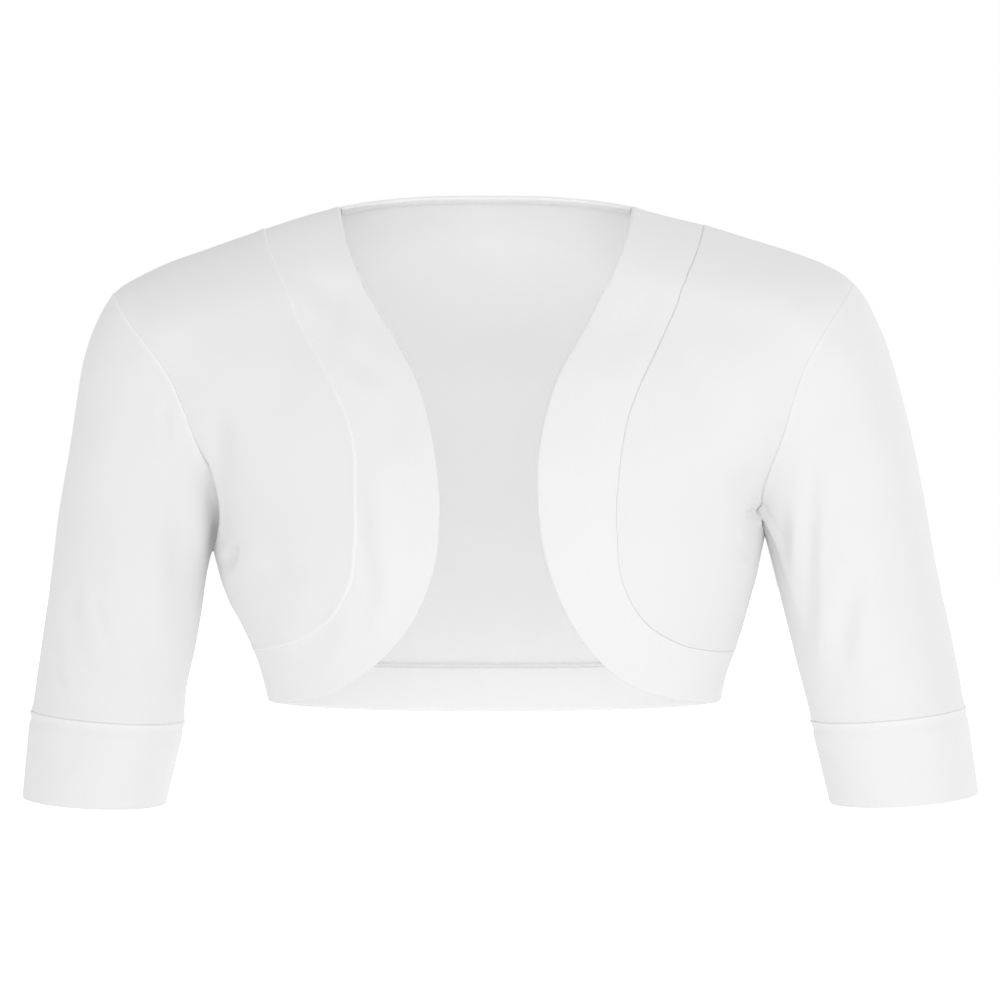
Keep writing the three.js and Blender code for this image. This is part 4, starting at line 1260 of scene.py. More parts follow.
def stitch_tree() -> bpy.types.NodeTree:
    """The tree that lays arched thread stitches at a pitch along lines on the cloth."""
    group, nodes, given, out = make_group(
        "stitch_row",
        "GeometryNodeTree",
        [
            ("Geometry", "NodeSocketGeometry", None),
            ("Pitch", "NodeSocketFloat", 0.003),
            ("Length", "NodeSocketFloat", 0.0024),
            ("Thread", "NodeSocketFloat", 0.0003),
            ("Arch", "NodeSocketFloat", 0.0003),
            ("Turn", "NodeSocketFloat", 0.0),
            ("Zigzag", "NodeSocketFloat", 0.0),
            ("Wander", "NodeSocketFloat", 0.05),
            ("Seed", "NodeSocketInt", 1),
            ("Material", "NodeSocketMaterial", None),
        ],
        [("Geometry", "NodeSocketGeometry")],
    )
    line = nodes.add("GeometryNodeMeshToCurve")
    nodes.join(given.outputs["Geometry"], line.inputs["Mesh"])
    even = nodes.add("GeometryNodeResampleCurve", mode="LENGTH")
    nodes.join(line.outputs["Curve"], even.inputs["Curve"])
    nodes.join(given.outputs["Pitch"], even.inputs["Length"])

    half = nodes.math("MULTIPLY", given.outputs["Length"], 0.5)
    ends = []
    for x in (nodes.math("MULTIPLY", half, -1.0), half):
        end = nodes.add("ShaderNodeCombineXYZ")
        nodes.join(x, end.inputs["X"])
        ends.append(end.outputs[0])
    peak = nodes.add("ShaderNodeCombineXYZ")
    nodes.join(nodes.math("MULTIPLY", given.outputs["Arch"], 2.0), peak.inputs["Z"])
    arch = nodes.add("GeometryNodeCurveQuadraticBezier")
    arch.inputs["Resolution"].default_value = 4
    nodes.join(ends[0], arch.inputs["Start"])
    nodes.join(peak.outputs[0], arch.inputs["Middle"])
    nodes.join(ends[1], arch.inputs["End"])
    profile = nodes.add("GeometryNodeCurvePrimitiveCircle")
    profile.inputs["Resolution"].default_value = 5
    nodes.join(nodes.math("MULTIPLY", given.outputs["Thread"], 0.5), profile.inputs["Radius"])
    thread = nodes.add("GeometryNodeCurveToMesh")
    nodes.join(arch.outputs["Curve"], thread.inputs["Curve"])
    nodes.join(profile.outputs["Curve"], thread.inputs["Profile Curve"])
    thread.inputs["Fill Caps"].default_value = True

    out_of_cloth = nodes.add("GeometryNodeInputNamedAttribute", data_type="FLOAT_VECTOR")
    out_of_cloth.inputs["Name"].default_value = OUT_OF_CLOTH
    tangent = nodes.add("GeometryNodeInputTangent")
    facing = nodes.add("FunctionNodeAxesToRotation", primary_axis="Z", secondary_axis="X")
    nodes.join(out_of_cloth.outputs["Attribute"], facing.inputs["Primary Axis"])
    nodes.join(tangent.outputs[0], facing.inputs["Secondary Axis"])
    index = nodes.add("GeometryNodeInputIndex")
    odd = nodes.math("MODULO", index.outputs[0], 2.0)
    swing = nodes.math("MULTIPLY", nodes.math("MULTIPLY_ADD", odd, 2.0, -1.0), given.outputs["Zigzag"])
    chance = nodes.add("FunctionNodeRandomValue", data_type="FLOAT")
    nodes.join(given.outputs["Seed"], chance.inputs["Seed"])
    low, high = [socket for socket in chance.inputs if socket.enabled][:2]
    nodes.join(nodes.math("MULTIPLY", given.outputs["Wander"], -1.0), low)
    nodes.join(given.outputs["Wander"], high)
    value = next(socket for socket in chance.outputs if socket.enabled)
    turn = nodes.math("ADD", nodes.math("ADD", swing, given.outputs["Turn"]), value)
    spin = nodes.add("ShaderNodeCombineXYZ")
    nodes.join(turn, spin.inputs["Z"])
    turned = nodes.add("FunctionNodeRotateRotation", rotation_space="LOCAL")
    nodes.join(facing.outputs["Rotation"], turned.inputs["Rotation"])
    nodes.join(spin.outputs[0], turned.inputs["Rotate By"])

    laid = nodes.add("GeometryNodeInstanceOnPoints")
    nodes.join(even.outputs["Curve"], laid.inputs["Points"])
    nodes.join(thread.outputs["Mesh"], laid.inputs["Instance"])
    nodes.join(turned.outputs["Rotation"], laid.inputs["Rotation"])
    real = nodes.add("GeometryNodeRealizeInstances")
    nodes.join(laid.outputs["Instances"], real.inputs["Geometry"])
    dressed = nodes.add("GeometryNodeSetMaterial")
    nodes.join(real.outputs["Geometry"], dressed.inputs["Geometry"])
    nodes.join(given.outputs["Material"], dressed.inputs["Material"])
    nodes.join(dressed.outputs["Geometry"], out.inputs["Geometry"])
    return group


@dataclass(frozen=True)
class Stitch:
    """One kind of stitch, in millimetres and degrees.

    turn is the angle from the row's line, and zigzag is added to it and taken from it in turn.
    """

    pitch: float
    length: float
    thread: float
    arch: float
    turn: float = 0.0
    zigzag: float = 0.0
    wander: float = 2.0


LOCKSTITCH = Stitch(pitch=3.0, length=2.6, thread=0.32, arch=0.28)
COVERSTITCH = Stitch(pitch=1.9, length=3.0, thread=0.3, arch=0.25, turn=90, zigzag=38)
OVERLOCK = Stitch(pitch=2.3, length=5.2, thread=0.32, arch=0.45, turn=78, wander=4)


@dataclass
class Sewing:
    """Lays rows of stitches along seam lines, and makes each set of rows one plain mesh."""

    material: bpy.types.Material
    tree: bpy.types.NodeTree = field(default_factory=stitch_tree)
    seed: int = 11

    def rows(self, name: str, seams: Sequence[Seam], stitch: Stitch) -> bpy.types.Object:
        """Sews rows of one stitch.

        Args:
            name: The piece's name.
            seams: The lines, on the surface that the stitches lie on.
            stitch: The stitch.

        Returns:
            The stitches as one plain mesh.
        """
        points = np.concatenate([seam.points for seam in seams]) * MM
        outs = np.concatenate([seam.normals for seam in seams])
        edges, start = [], 0
        for seam in seams:
            count = len(seam.points)
            edges += [(start + i, start + i + 1) for i in range(count - 1)]
            if seam.is_ring:
                edges.append((start + count - 1, start))
            start += count
        mesh = bpy.data.meshes.new(name + "_lines")
        mesh.from_pydata(points.tolist(), edges, [])
        attribute = mesh.attributes.new(OUT_OF_CLOTH, "FLOAT_VECTOR", "POINT")
        attribute.data.foreach_set("vector", outs.astype(np.float32).ravel())
        lines = bpy.data.objects.new(name + "_lines", mesh)
        bpy.context.scene.collection.objects.link(lines)
        modifier = lines.modifiers.new("stitches", "NODES")
        modifier.node_group = self.tree
        self.seed += 1
        values = {
            "Pitch": stitch.pitch * MM,
            "Length": stitch.length * MM,
            "Thread": stitch.thread * MM,
            "Arch": stitch.arch * MM,
            "Turn": math.radians(stitch.turn),
            "Zigzag": math.radians(stitch.zigzag),
            "Wander": math.radians(stitch.wander),
            "Seed": self.seed,
            "Material": self.material,
        }
        for socket in self.tree.interface.items_tree:
            if socket.in_out == "INPUT" and socket.name in values:
                modifier[socket.identifier] = values[socket.name]
        made = bpy.data.meshes.new_from_object(
            lines.evaluated_get(bpy.context.evaluated_depsgraph_get())
        )
        lines.modifiers.remove(modifier)
        bpy.data.objects.remove(lines)
        thing = bpy.data.objects.new(name, made)
        made.name = name
        for attribute in [a for a in made.attributes if a.name == OUT_OF_CLOTH]:
            made.attributes.remove(attribute)
        made.polygons.foreach_set("use_smooth", np.ones(len(made.polygons), bool))
        bpy.context.scene.collection.objects.link(thing)
        return thing


def join_strips(name: str, strips: Sequence[tuple[Array, Array]]) -> bpy.types.Object:
    """Makes several strips one mesh object."""
    points, quads, start = [], [], 0
    for places, faces in strips:
        corners = places[faces]
        volume = np.einsum("ij,ij->", corners[:, 0], np.cross(corners[:, 1], corners[:, 2]))
        volume += np.einsum("ij,ij->", corners[:, 0], np.cross(corners[:, 2], corners[:, 3]))
        faces = faces[:, ::-1] if volume < 0 else faces
        points.append(places)
        quads.append(faces + start)
        start += len(places)
    return make_object(name, np.concatenate(points), np.concatenate(quads), None)


@dataclass
class Panel:
    """One sewn piece of cloth: its name, the solid it stands for, its finish and its cut.

    flat is the width and length of the cut that shows, and area its flat area where it isn't a
    rectangle, in millimetres and square millimetres.
    """

    name: str
    slot: str
    finish: KnitFinish
    thickness: float
    flat: tuple[float, float]
    area: float
    held: str = "stretched"

    def dress(self, thing: bpy.types.Object, wardrobe: Wardrobe) -> bpy.types.Object:
        """Gives the piece its material and its body, and hides the solid that it stands for."""
        thing.data.materials.append(wardrobe.material(self.finish))
        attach(thing, BODY)
        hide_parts(self.name)
        LOG.info("%s: %d faces", self.name, len(thing.data.polygons))
        return thing

    def declare(self, thing: bpy.types.Object, sewn: Sequence[bpy.types.Object] = ()) -> None:
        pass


@dataclass
class Front:
    """One front: the panel and the wide band along its free edge."""

    side: Side
    sleeve: SleeveForm
    rows: int = 100
    panel_columns: int = 44
    band_columns: int = 20

    def __post_init__(self) -> None:
        """Sets the two pieces' cuts."""
        name = self.side.name
        self.panel = Panel(f"front_{name}", "jersey", PANEL_KNIT, JERSEY, (118, 262), 26300)
        self.band = Panel(
            f"band_{name}", "folded_jersey", BAND_KNIT, FOLDED, (49, 352), 16100
        )

    def row_steps(self) -> Array:
        """The rows of both pieces, closer at the shoulder and at the side seam."""
        return with_edges(0, BODY_ROWS, self.rows, 270, JERSEY)

    def panel_grid(self) -> Grid:
        """The front panel, from the band seam out to the armhole and the side seam."""
        side = self.side
        across = with_edges(0, 1, self.panel_columns, 88, JERSEY)
        row, across = np.meshgrid(self.row_steps(), across, indexing="ij")
        _, seam = band_outlines(side)
        tip = float(FORM.side[side.name](np.array(side.armhole_top)))
        inner, outer = seam(band_share(row)), outer_outline(side, True, BAND_END_Z, row)
        shoulder = front_shoulder(side, mix(side.band_top, tip, across))
        start = outer_outline(side, True, BAND_END_Z, np.zeros(row.shape))
        share = across[..., None]
        straight = mix(seam(np.zeros(row.shape)), start, share)
        fade = ((1 - row / BODY_ROWS) ** FRONT_FADE)[..., None]
        spot = mix(inner, outer, share) + (shoulder - straight) * fade
        grid = body_grid(side, True, spot, row)
        turn = np.minimum(row[:, -1] / ARMHOLE_ROWS * math.pi, math.pi)
        under, deep, way_out = self.sleeve.drawn_in(turn)
        move = under + deep
        reach = grid.reach(1, True)[..., None]
        bulge = (reach / TUCK_BULGE) ** 2 * np.exp(1 - (reach / TUCK_BULGE) ** 2)
        lift = way_out * np.linalg.norm(deep, axis=-1, keepdims=True) * TUCK_LIFT
        mitre_armhole(grid, -1, self.sleeve, row[:, 0], True)
        grid.points = grid.points + move[:, None] * np.exp(-((reach / TUCK_FRONT) ** 2))
        grid.points = grid.points + lift[:, None] * bulge
        return grid

    def band_grid(self) -> Grid:
        """The front band, from its free edge to the seam with the front panel."""
        side = self.side
        across = with_edges(0, 1, self.band_columns, 46, FOLDED)
        row, across = np.meshgrid(self.row_steps(), across, indexing="ij")
        edge, seam = band_outlines(side)
        shoulder = front_shoulder(side, mix(NECK_HALF, side.band_top, across))
        zero, share = np.zeros(row.shape), across[..., None]
        straight = mix(edge(zero), seam(zero), share)
        spot = mix(edge(band_share(row)), seam(band_share(row)), share)
        spot = spot + (shoulder - straight) * ((1 - row / BODY_ROWS) ** BAND_FADE)[..., None]
        return body_grid(side, True, spot, row)

    def build(self, wardrobe: Wardrobe, sewing: Sewing) -> None:
        """Makes both pieces, the seam allowance between them and its stitches."""
        side, name = self.side, self.side.name
        panel_grid, band_grid = self.panel_grid(), self.band_grid()
        seam_edges = {"top": Edge.SEAM, "first": side.seam_edge, "last": Edge.SEAM}
        # The ridge also carries the painted highlight along the band seam's rim.
        raised = Ridge("first", 1.3, side.seam_rim, side.band_seam_highlight)
        panel = wall(self.panel.name, panel_grid, JERSEY, seam_edges, [raised])
        band_edges = {
            "top": Edge.THICK_SEAM, "bottom": Edge.THICK_SEAM, "first": Edge.FOLD, "last": Edge.RAISED_SEAM,
        }
        ridge = Groove("first", 2.6, 1.6, -0.18)
        band = wall(self.band.name, band_grid, FOLDED, band_edges, [ridge])
        self.panel.dress(panel, wardrobe)
        self.band.dress(band, wardrobe)
        allowance = SeamAllowance(f"allowance_front_{name}")
        seams = [panel_grid.line(1, 0), panel_grid.line(0, 0), panel_grid.line(1, -1)]
        sewn = allowance.build([(seam, JERSEY) for seam in seams], wardrobe, sewing)
        self.panel.declare(panel, sewn)
        self.band.declare(band)


@dataclass
class SeamAllowance:
    """The overlocked edges of cloth inside seams, pressed flat to one side."""

    name: str
    width: float = 5.5
    cloth: float = 1.0
    gap: float = 0.05

    def build(self, seams: Sequence[tuple[Seam, float]], wardrobe: Wardrobe, sewing: Sewing) -> list[bpy.types.Object]:
        """Makes the allowances along seams.

        Args:
            seams: Each seam line with the thickness of the cloth that it lies on.
            wardrobe: Gives the material.
            sewing: Sews the overlock stitches.

        Returns:
            The allowance and its stitches.
        """
        strips = [strip(seam, self.width, self.cloth, depth + self.gap) for seam, depth in seams]
        cloth = join_strips(self.name, strips)
        cloth.data.materials.append(wardrobe.material(THREAD))
        rows = []
        for seam, depth in seams:
            row = seam.moved(self.width * 0.5, -(depth + self.gap + self.cloth))
            row.normals = -row.normals
            rows.append(row)
        stitches = sewing.rows(self.name + "_overlock", rows, OVERLOCK)
        for thing in (cloth, stitches):
            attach(thing, BODY)
        return [cloth, stitches]


def back_columns(column: Array) -> Array:
    """The signed distance from the middle of each column at the top of the back."""
    tips = [float(FORM.side[s.name](np.array(s.armhole_top))) for s in (RIGHT, LEFT)]
    marks = [-tips[0], -RIGHT.band_top, -NECK_HALF, NECK_HALF, LEFT.band_top, tips[1]]
    at = [0, FRONT_COLUMNS, HALF_BACK, HALF_BACK + NECK_COLUMNS, BACK_COLUMNS - FRONT_COLUMNS, BACK_COLUMNS]
    x = np.interp(column, at, marks)
    turn = (column - HALF_BACK) / NECK_COLUMNS * math.pi
    is_neck = (column > HALF_BACK) & (column < HALF_BACK + NECK_COLUMNS)
    return np.where(is_neck, -NECK_HALF * np.cos(turn), x)


def back_edge(side: Side, end_z: float, row: Array) -> Array:
    """The outer outline of the back in its own flat, which is signed from the middle."""
    spot = outer_outline(side, False, end_z, row)
    return np.stack([side.sign * (math.pi * AROUND - spot[..., 0]), spot[..., 1]], axis=-1)


def back_flat(x: Array, z: Array) -> Array:
    """A place in the flat of the back."""
    angle = [math.pi * AROUND - flat(side, False, x, z)[..., 0] for side in (RIGHT, LEFT)]
    return np.stack([np.where(x < 0, -angle[0], angle[1]), z + 0 * x], axis=-1)


def hem_drop(share: Array) -> Array:
    """How far the lower line of the back hangs below its side seams."""
    return HEM_BACK_DROP * np.sin(share * math.pi)


def back_grid_of(spot: Array, row: Array) -> Grid:
    """Lays a grid on the back of the form, whose left and right halves have their own tables."""
    halves = []
    for side in (RIGHT, LEFT):
        turned = np.stack([math.pi * AROUND - np.abs(spot[..., 0]), spot[..., 1]], axis=-1)
        halves.append(body_grid(side, False, turned, row))
    pick = (spot[..., 0] < 0)[..., None]
    right, left = halves
    return Grid(
        np.where(pick, right.points, left.points),
        np.where(pick, right.normals, left.normals),
        np.ones(row.shape),
        np.where(pick, right.grain, left.grain),
    )


@dataclass
class Back:
    """The back panel with its folded hem and the turned edge inside its neck."""

    sleeves: dict[str, SleeveForm]
    rows: int = 96
    columns: int = 150
    neck_hem_rows: float = 0.55

    def __post_init__(self) -> None:
        """Sets the three pieces' cuts."""
        self.panel = Panel("back", "jersey", PANEL_KNIT, JERSEY, (452, 300), 107000)
        self.hem = Panel("back_hem", "folded_jersey", PANEL_KNIT, FOLDED, (335, 25), 8300)
        self.neck = Panel("neck_hem", "jersey", PANEL_KNIT, NECK_HEM_CLOTH, (172, 7), 1000)

    def spots(self, row: Array, column: Array) -> Array:
        """Places in the flat of the back at rows and columns of the part's source."""
        share, down = column / BACK_COLUMNS, row / BODY_ROWS
        x = back_columns(column)
        reach = np.minimum(1, np.abs(x) / NECK_HALF)
        neck = NECK_SIDE_Z + NECK_BACK_RISE * (1 - reach**NECK_CURVE)
        lines = [FORM.shoulder[side.name](np.abs(x)) for side in (RIGHT, LEFT)]
        top_z = np.where(reach < 1, neck, np.where(x < 0, *lines))
        end_z, zero = HEM_SIDE_Z + HEM_HEIGHT, np.zeros(row.shape)
        ends = [(back_edge(side, end_z, zero), back_edge(side, end_z, row)) for side in (RIGHT, LEFT)]
        part = share[..., None]
        straight = mix(ends[0][0], ends[1][0], part)
        spot = mix(ends[0][1], ends[1][1], part)
        spot = spot + (back_flat(x, top_z) - straight) * ((1 - down) ** BACK_FADE)[..., None]
        spot[..., 1] -= hem_drop(share) * down**BACK_FADE
        return spot

    def panel_grid(self) -> Grid:
        """The back from the wearer's right to the left."""
        rows = with_edges(0, BODY_ROWS, self.rows, 270, JERSEY)
        columns = with_edges(0, BACK_COLUMNS, self.columns, 330, JERSEY)
        columns = np.union1d(columns, [HALF_BACK, HALF_BACK + NECK_COLUMNS])
        row, column = np.meshgrid(rows, columns, indexing="ij")
        grid = back_grid_of(self.spots(row, column), row)
        mitre_armhole(grid, 0, self.sleeves["right"], row[:, 0], False)
        mitre_armhole(grid, -1, self.sleeves["left"], row[:, 0], False)
        return grid

    def hem_grid(self) -> Grid:
        """The folded hem below the back."""
        down = with_edges(0, 1, 12, HEM_HEIGHT, FOLDED)
        across = with_edges(0, 1, self.columns, 330, FOLDED)
        row, share = np.meshgrid(down, across, indexing="ij")
        z = HEM_SIDE_Z + HEM_HEIGHT * (1 - row) - hem_drop(share)
        spot = np.stack([mix(-SIDE_SEAM, SIDE_SEAM, share), z], axis=-1)
        return back_grid_of(spot, row)

    def neck_grid(self) -> Grid:
        """The turned edge inside the neck."""
        rows = with_edges(0, self.neck_hem_rows, 6, 7, NECK_HEM_CLOTH)
        columns = with_edges(HALF_BACK + 0.4, HALF_BACK + NECK_COLUMNS - 0.4, 60, 165, NECK_HEM_CLOTH)
        row, column = np.meshgrid(rows, columns, indexing="ij")
        grid = back_grid_of(self.spots(row, column), row)
        grid.points = grid.points - grid.normals * (JERSEY + NECK_HEM_GAP)
        return grid

    def build(self, wardrobe: Wardrobe, sewing: Sewing) -> list[bpy.types.Object]:
        """Makes the three pieces, the allowances inside their seams and the stitches.

        Args:
            wardrobe: Gives the materials.
            sewing: Sews the stitches.

        Returns:
            All that was made.
        """
        panel_grid, hem_grid, neck_grid = self.panel_grid(), self.hem_grid(), self.neck_grid()
        edges = {side: Edge.SEAM for side in ("top", "bottom", "first", "last")}
        hem_edges = {side: Edge.THICK_SEAM for side in ("top", "first", "last")}
        neck_edges = {"top": Edge.LINED_FOLD, "bottom": Edge.CUT, "first": Edge.CUT, "last": Edge.CUT}
        # The ridge along the hem seam carries a faint painted highlight.
        raised = Ridge("bottom", 1.3, 0.3, 0.03)
        panel = wall("back", panel_grid, JERSEY, edges, [raised])
        hem = wall("back_hem", hem_grid, FOLDED, {**hem_edges, "bottom": Edge.FOLD})
        neck = wall("neck_hem", neck_grid, NECK_HEM_CLOTH, neck_edges)
        for piece, thing in ((self.panel, panel), (self.hem, hem), (self.neck, neck)):
            piece.dress(thing, wardrobe)

        inside = SeamAllowance("allowance_back_hem", width=2.6, cloth=0.6)
        hem_seam = panel_grid.line(0, -1)
        sewn = inside.build([(hem_seam, JERSEY)], wardrobe, sewing)
        sides = SeamAllowance("allowance_back_sides")
        below = int(np.searchsorted(panel_grid.reach(0, False)[:, 0], 150))
        side_seams = [(panel_grid.line(1, c).part(below, -6), JERSEY) for c in (0, -1)]
        sewn += sides.build(side_seams, wardrobe, sewing)

        neck_line = neck_grid.line(0, -1)
        inner = neck_line.moved(1.6, -(NECK_HEM_CLOTH + 0.05))
        inner.normals = -inner.normals
        zigzag = sewing.rows("neck_zigzag", [inner], COVERSTITCH)
        outer = [neck_line.moved(into, JERSEY + NECK_HEM_GAP + 0.02) for into in (0.4, 2.8)]
        twin = sewing.rows("neck_twin_rows", outer, LOCKSTITCH)
        for thing in (zigzag, twin):
            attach(thing, BODY)
        self.panel.declare(panel, [*sewn, neck, zigzag, twin])
        self.hem.declare(hem)
        return [panel, hem, neck, *sewn, zigzag, twin]


@dataclass
class Arm:
    """One sleeve and the folded cuff at its end."""

    side: Side
    form: SleeveForm
    rows: int = 100
    around: int = 160
    cuff_rows: int = 20

    def __post_init__(self) -> None:
        """Sets the two pieces' cuts."""
        name = self.side.name
        self.sleeve = Panel(f"sleeve_{name}", "jersey", PANEL_KNIT, JERSEY, (330, 245), 55500)
        self.cuff = Panel(f"cuff_{name}", "folded_jersey", BAND_KNIT, FOLDED, (262, 50), 13000)

    def turns(self) -> Array:
        """Turns round the sleeve, from the underarm back to it, closer beside its seam."""
        turns = with_edges(-math.pi, math.pi, self.around, 300, JERSEY)
        return turns

    def grid(self, surface: Callable[[Array, Array], Array], share: Array, creases: Sequence[Crease]) -> Grid:
        """Lays rings of cloth on a surface of the sleeve.

        Args:
            surface: The surface, by turn and share.
            share: The rings' shares of the way down.
            creases: Its creases.

        Returns:
            The rings as a closed grid.
        """
        share, turn = np.meshgrid(share, self.turns(), indexing="ij")
        points = surface(turn, share)
        normals = self.form.normal(surface, turn, share)
        is_front = np.mod(turn, 2 * math.pi) <= math.pi
        depth = crease_depth(creases, is_front, points[..., 0], points[..., 2])
        depth = depth * np.minimum(1, np.abs(np.sin(turn)) * CREASE_HOLD)
        points = points - normals * depth[..., None]
        rings = np.linalg.norm(np.diff(points, axis=1), axis=-1)
        across = np.pad(np.cumsum(rings, axis=1), [(0, 0), (1, 0)])
        across = across - across[:, [across.shape[1] // 2]]
        down = np.linalg.norm(np.diff(points, axis=0), axis=-1)
        along = -np.pad(np.cumsum(down, axis=0), [(1, 0), (0, 0)])
        along = np.repeat(along.mean(axis=1, keepdims=True), along.shape[1], axis=1)
        grain = np.stack([across, along], axis=-1)
        keep = slice(0, -1)
        return Grid(points[:, keep], normals[:, keep], np.ones(turn[:, keep].shape), grain, True)

    def underarm(self, grid: Grid) -> Array:
        """How deep the underarm seam is pressed at each place."""
        points = np.concatenate([grid.points, grid.points[:, :1]], axis=1)
        steps = np.linalg.norm(np.diff(points, axis=1), axis=-1)
        reach = np.pad(np.cumsum(steps, axis=1), [(0, 0), (1, 0)])
        near = np.minimum(reach, reach[:, -1:] - reach)[:, :-1]
        return 0.4 * JERSEY * edge_roll(near, JERSEY)

    def build(self, wardrobe: Wardrobe, sewing: Sewing) -> None:
        """Makes the sleeve and the cuff, with the allowances inside their seams."""
        name = self.side.name
        sleeve_share = with_edges(0, 1, self.rows, 240, JERSEY)
        sleeve_grid = self.grid(self.form.bare, sleeve_share, self.side.sleeve_creases)
        turn = self.turns()[:-1]
        sleeve_grid.normals[0], sleeve_grid.stretch[0] = self.form.mitre(turn)
        is_front = (turn >= 0) & (turn <= math.pi)
        under, deep, _ = self.form.drawn_in(np.where(is_front, turn, 0))
        reach = sleeve_grid.reach(0, False)[..., None]
        move = under * np.exp(-((reach / TUCK_FRONT) ** 2)) + deep * np.exp(-((reach / TUCK_SLEEVE) ** 4))
        sleeve_grid.points = sleeve_grid.points + np.where(is_front[:, None], move, 0)
        cuff_share = with_edges(0, 1, self.cuff_rows, 50, FOLDED)
        cuff_grid = self.grid(self.form.cuff, cuff_share, self.side.cuff_creases)
        cuff_grid.points = cuff_grid.points + cuff_grid.normals * (FOLDED - JERSEY)
        seam = self.underarm(sleeve_grid)
        # These ridges carry painted highlights along the armhole seam's rim and the cuff seam's rim.
        raised = Ridge("top", 1.3, self.side.seam_rim, self.side.sleeve_seam_highlight)
        risen = Ridge("bottom", 1.3, 0.5, 0.02)
        sleeve_edges = {"top": Edge.SEAM, "bottom": Edge.RAISED_SEAM}
        sleeve = wall(self.sleeve.name, sleeve_grid, JERSEY, sleeve_edges, [raised, risen], seam)
        # The cuff's rim carries a faint painted highlight.
        trough, rim = Groove("top", 4.6, 2.2, 1.0), Ridge("top", 1.6, 0.1, 0.04)
        cuff_edges = {"top": Edge.TIGHT_FOLD, "bottom": Edge.FOLD}
        pressed = self.underarm(cuff_grid)
        cuff = wall(self.cuff.name, cuff_grid, FOLDED, cuff_edges, [trough, rim], pressed)
        self.sleeve.dress(sleeve, wardrobe)
        self.cuff.dress(cuff, wardrobe)
        allowance = SeamAllowance(f"allowance_sleeve_{name}")
        underarm_seam = sleeve_grid.line(1, 0)
        seams = [(sleeve_grid.line(0, -1), JERSEY), (underarm_seam, JERSEY)]
        sewn = allowance.build(seams, wardrobe, sewing)
        self.sleeve.declare(sleeve, sewn)
        self.cuff.declare(cuff)


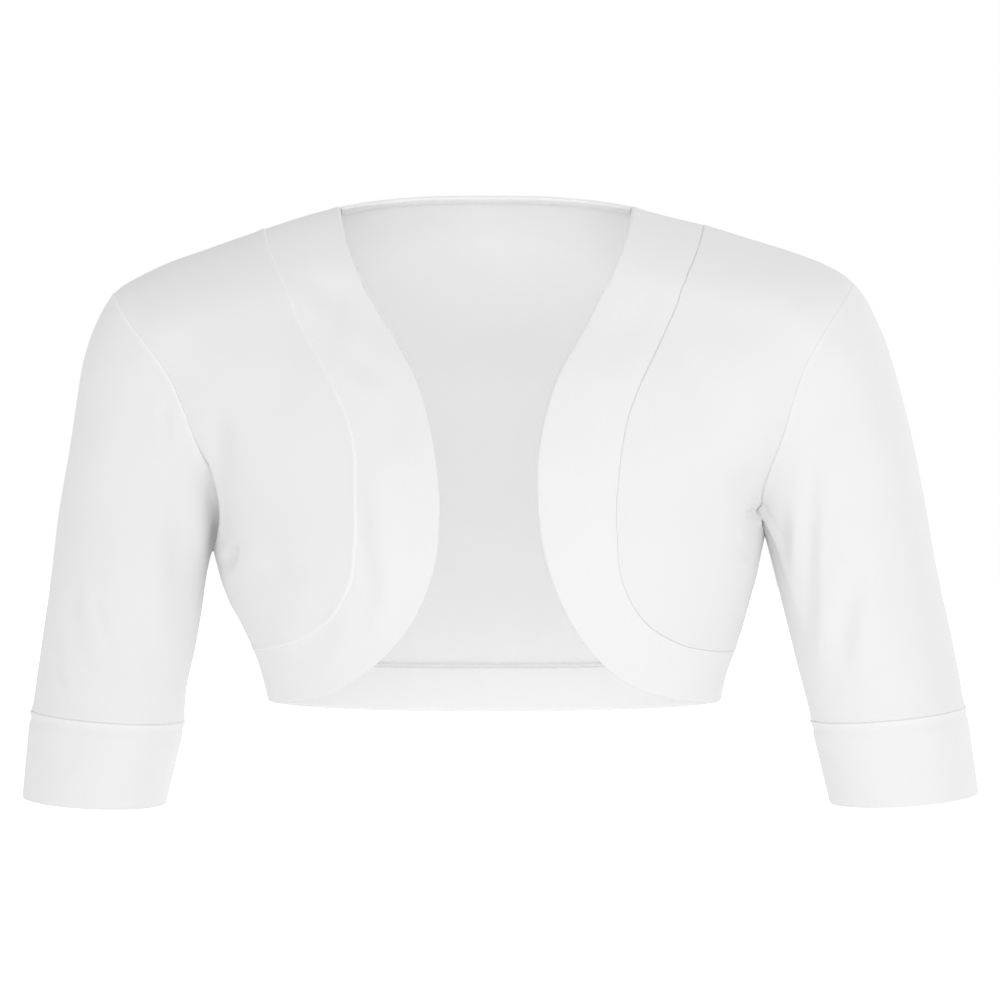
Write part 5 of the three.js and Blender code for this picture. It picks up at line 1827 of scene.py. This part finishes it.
@dataclass
class Studio:
    """A plain pale floor, soft light and the camera at the photograph's angle."""

    distance: float = 3500.0
    frame_width: float = 570.0
    middle: tuple[float, float] = (8.0, -142.5)
    sensor: float = 36.0
    floor_z: float = -620.0
    floor_half: float = 30000.0

    def camera(self) -> bpy.types.Object:
        """Makes the camera level in front of the jacket."""
        data = bpy.data.cameras.new("camera")
        data.sensor_width = self.sensor
        data.lens = self.sensor * self.distance / self.frame_width
        thing = bpy.data.objects.new("camera", data)
        x, z = self.middle
        thing.location = (x * MM, -self.distance * MM, z * MM)
        thing.rotation_euler = (math.pi / 2, 0, 0)
        bpy.context.scene.collection.objects.link(thing)
        bpy.context.scene.camera = thing
        return thing

    def floor(self, wardrobe: Wardrobe) -> bpy.types.Object:
        """Makes the floor."""
        half, z = self.floor_half, self.floor_z
        corners = np.array([(-half, -half, z), (half, -half, z), (half, half, z), (-half, half, z)], float)
        mesh = bpy.data.meshes.new("floor")
        mesh.from_pydata((corners * MM).tolist(), [], [(0, 1, 2, 3)])
        thing = bpy.data.objects.new("floor", mesh)
        bpy.context.scene.collection.objects.link(thing)
        mesh.materials.append(wardrobe.material(FLOOR))
        return thing

    def lamp(self, name: str, place: tuple, aim: tuple, size: float, watts: float) -> bpy.types.Object:
        """Hangs a large soft lamp.

        Args:
            name: Its name.
            place: Where it hangs, in metres.
            aim: What it points at, in metres.
            size: Its width, in metres.
            watts: Its power.

        Returns:
            The lamp.
        """
        data = bpy.data.lights.new(name, "AREA")
        data.shape, data.size, data.energy = "DISK", size, watts
        thing = bpy.data.objects.new(name, data)
        thing.location = place
        thing.rotation_euler = (Vector(aim) - Vector(place)).to_track_quat("-Z", "Y").to_euler()
        bpy.context.scene.collection.objects.link(thing)
        return thing

    def light_inside(self, pieces: Sequence[bpy.types.Object]) -> None:
        """Lights the inside of the back on its own, as its separate exposure does in the photo."""
        lit = bpy.data.collections.new("lit_inside")
        unlit = bpy.data.collections.new("not_lit_by_key")
        for piece in pieces:
            lit.objects.link(piece)
            unlit.objects.link(piece)
        for entry in unlit.collection_objects:
            entry.light_linking.link_state = "EXCLUDE"
        lamp = self.lamp("inside", (0.0, -3.4, 0.3), (0.0, 0, -0.13), 1.8, 34)
        lamp.light_linking.receiver_collection = lit
        lamp.light_linking.blocker_collection = lit
        bpy.data.objects["key"].light_linking.receiver_collection = unlit

    def light(self) -> None:
        """Sets a white surround that is brighter in front than above and behind, and lamps."""
        world = bpy.data.worlds.new("studio")
        bpy.context.scene.world = world
        world.use_nodes = True
        nodes = NodeTree(world.node_tree)
        surround = world.node_tree.nodes["Background"]
        surround.inputs["Color"].default_value = (1, 1, 1, 1)
        way = nodes.add("ShaderNodeSeparateXYZ")
        nodes.join(nodes.add("ShaderNodeTexCoord").outputs["Generated"], way.inputs[0])
        level = nodes.math("MULTIPLY_ADD", way.outputs["X"], 0.0, 0.905)
        for axis, sign, gain in (("Y", -1.0, 0.08), ("Y", 1.0, -0.05), ("Z", 1.0, -0.3)):
            towards = nodes.math("MAXIMUM", nodes.math("MULTIPLY", way.outputs[axis], sign), 0.0)
            level = nodes.math("MULTIPLY_ADD", towards, gain, level)
        seen = nodes.add("ShaderNodeLightPath").outputs["Is Camera Ray"]
        strength = nodes.math("MAXIMUM", level, seen)
        nodes.join(strength, surround.inputs["Strength"])
        self.lamp("key", (0.46, -0.95, 0.02), (0.12, 0, -0.13), 0.3, 1.3)
        self.lamp("fill", (-2.2, -2.7, -0.7), (-0.05, 0, -0.15), 2.0, 13)
        self.lamp("rear", (2.6, 2.6, 1.6), (0, 0, -0.15), 1.2, 26)
        bpy.context.scene.view_settings.view_transform = "Standard"

    def build(self, wardrobe: Wardrobe) -> None:
        """Sets up the whole studio."""
        self.camera()
        self.floor(wardrobe)
        self.light()


def main() -> None:
    """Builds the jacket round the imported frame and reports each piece."""
    logging.basicConfig(level=logging.INFO, format="%(message)s")
    wardrobe = Wardrobe()
    studio = Studio()
    studio.build(wardrobe)
    sewing = Sewing(wardrobe.material(THREAD))
    sleeves = {side.name: SleeveForm(side) for side in (RIGHT, LEFT)}
    studio.light_inside(Back(sleeves).build(wardrobe, sewing))
    for side in (RIGHT, LEFT):
        Front(side, sleeves[side.name]).build(wardrobe, sewing)
        Arm(side, sleeves[side.name]).build(wardrobe, sewing)


if __name__ == "__main__":
    main()
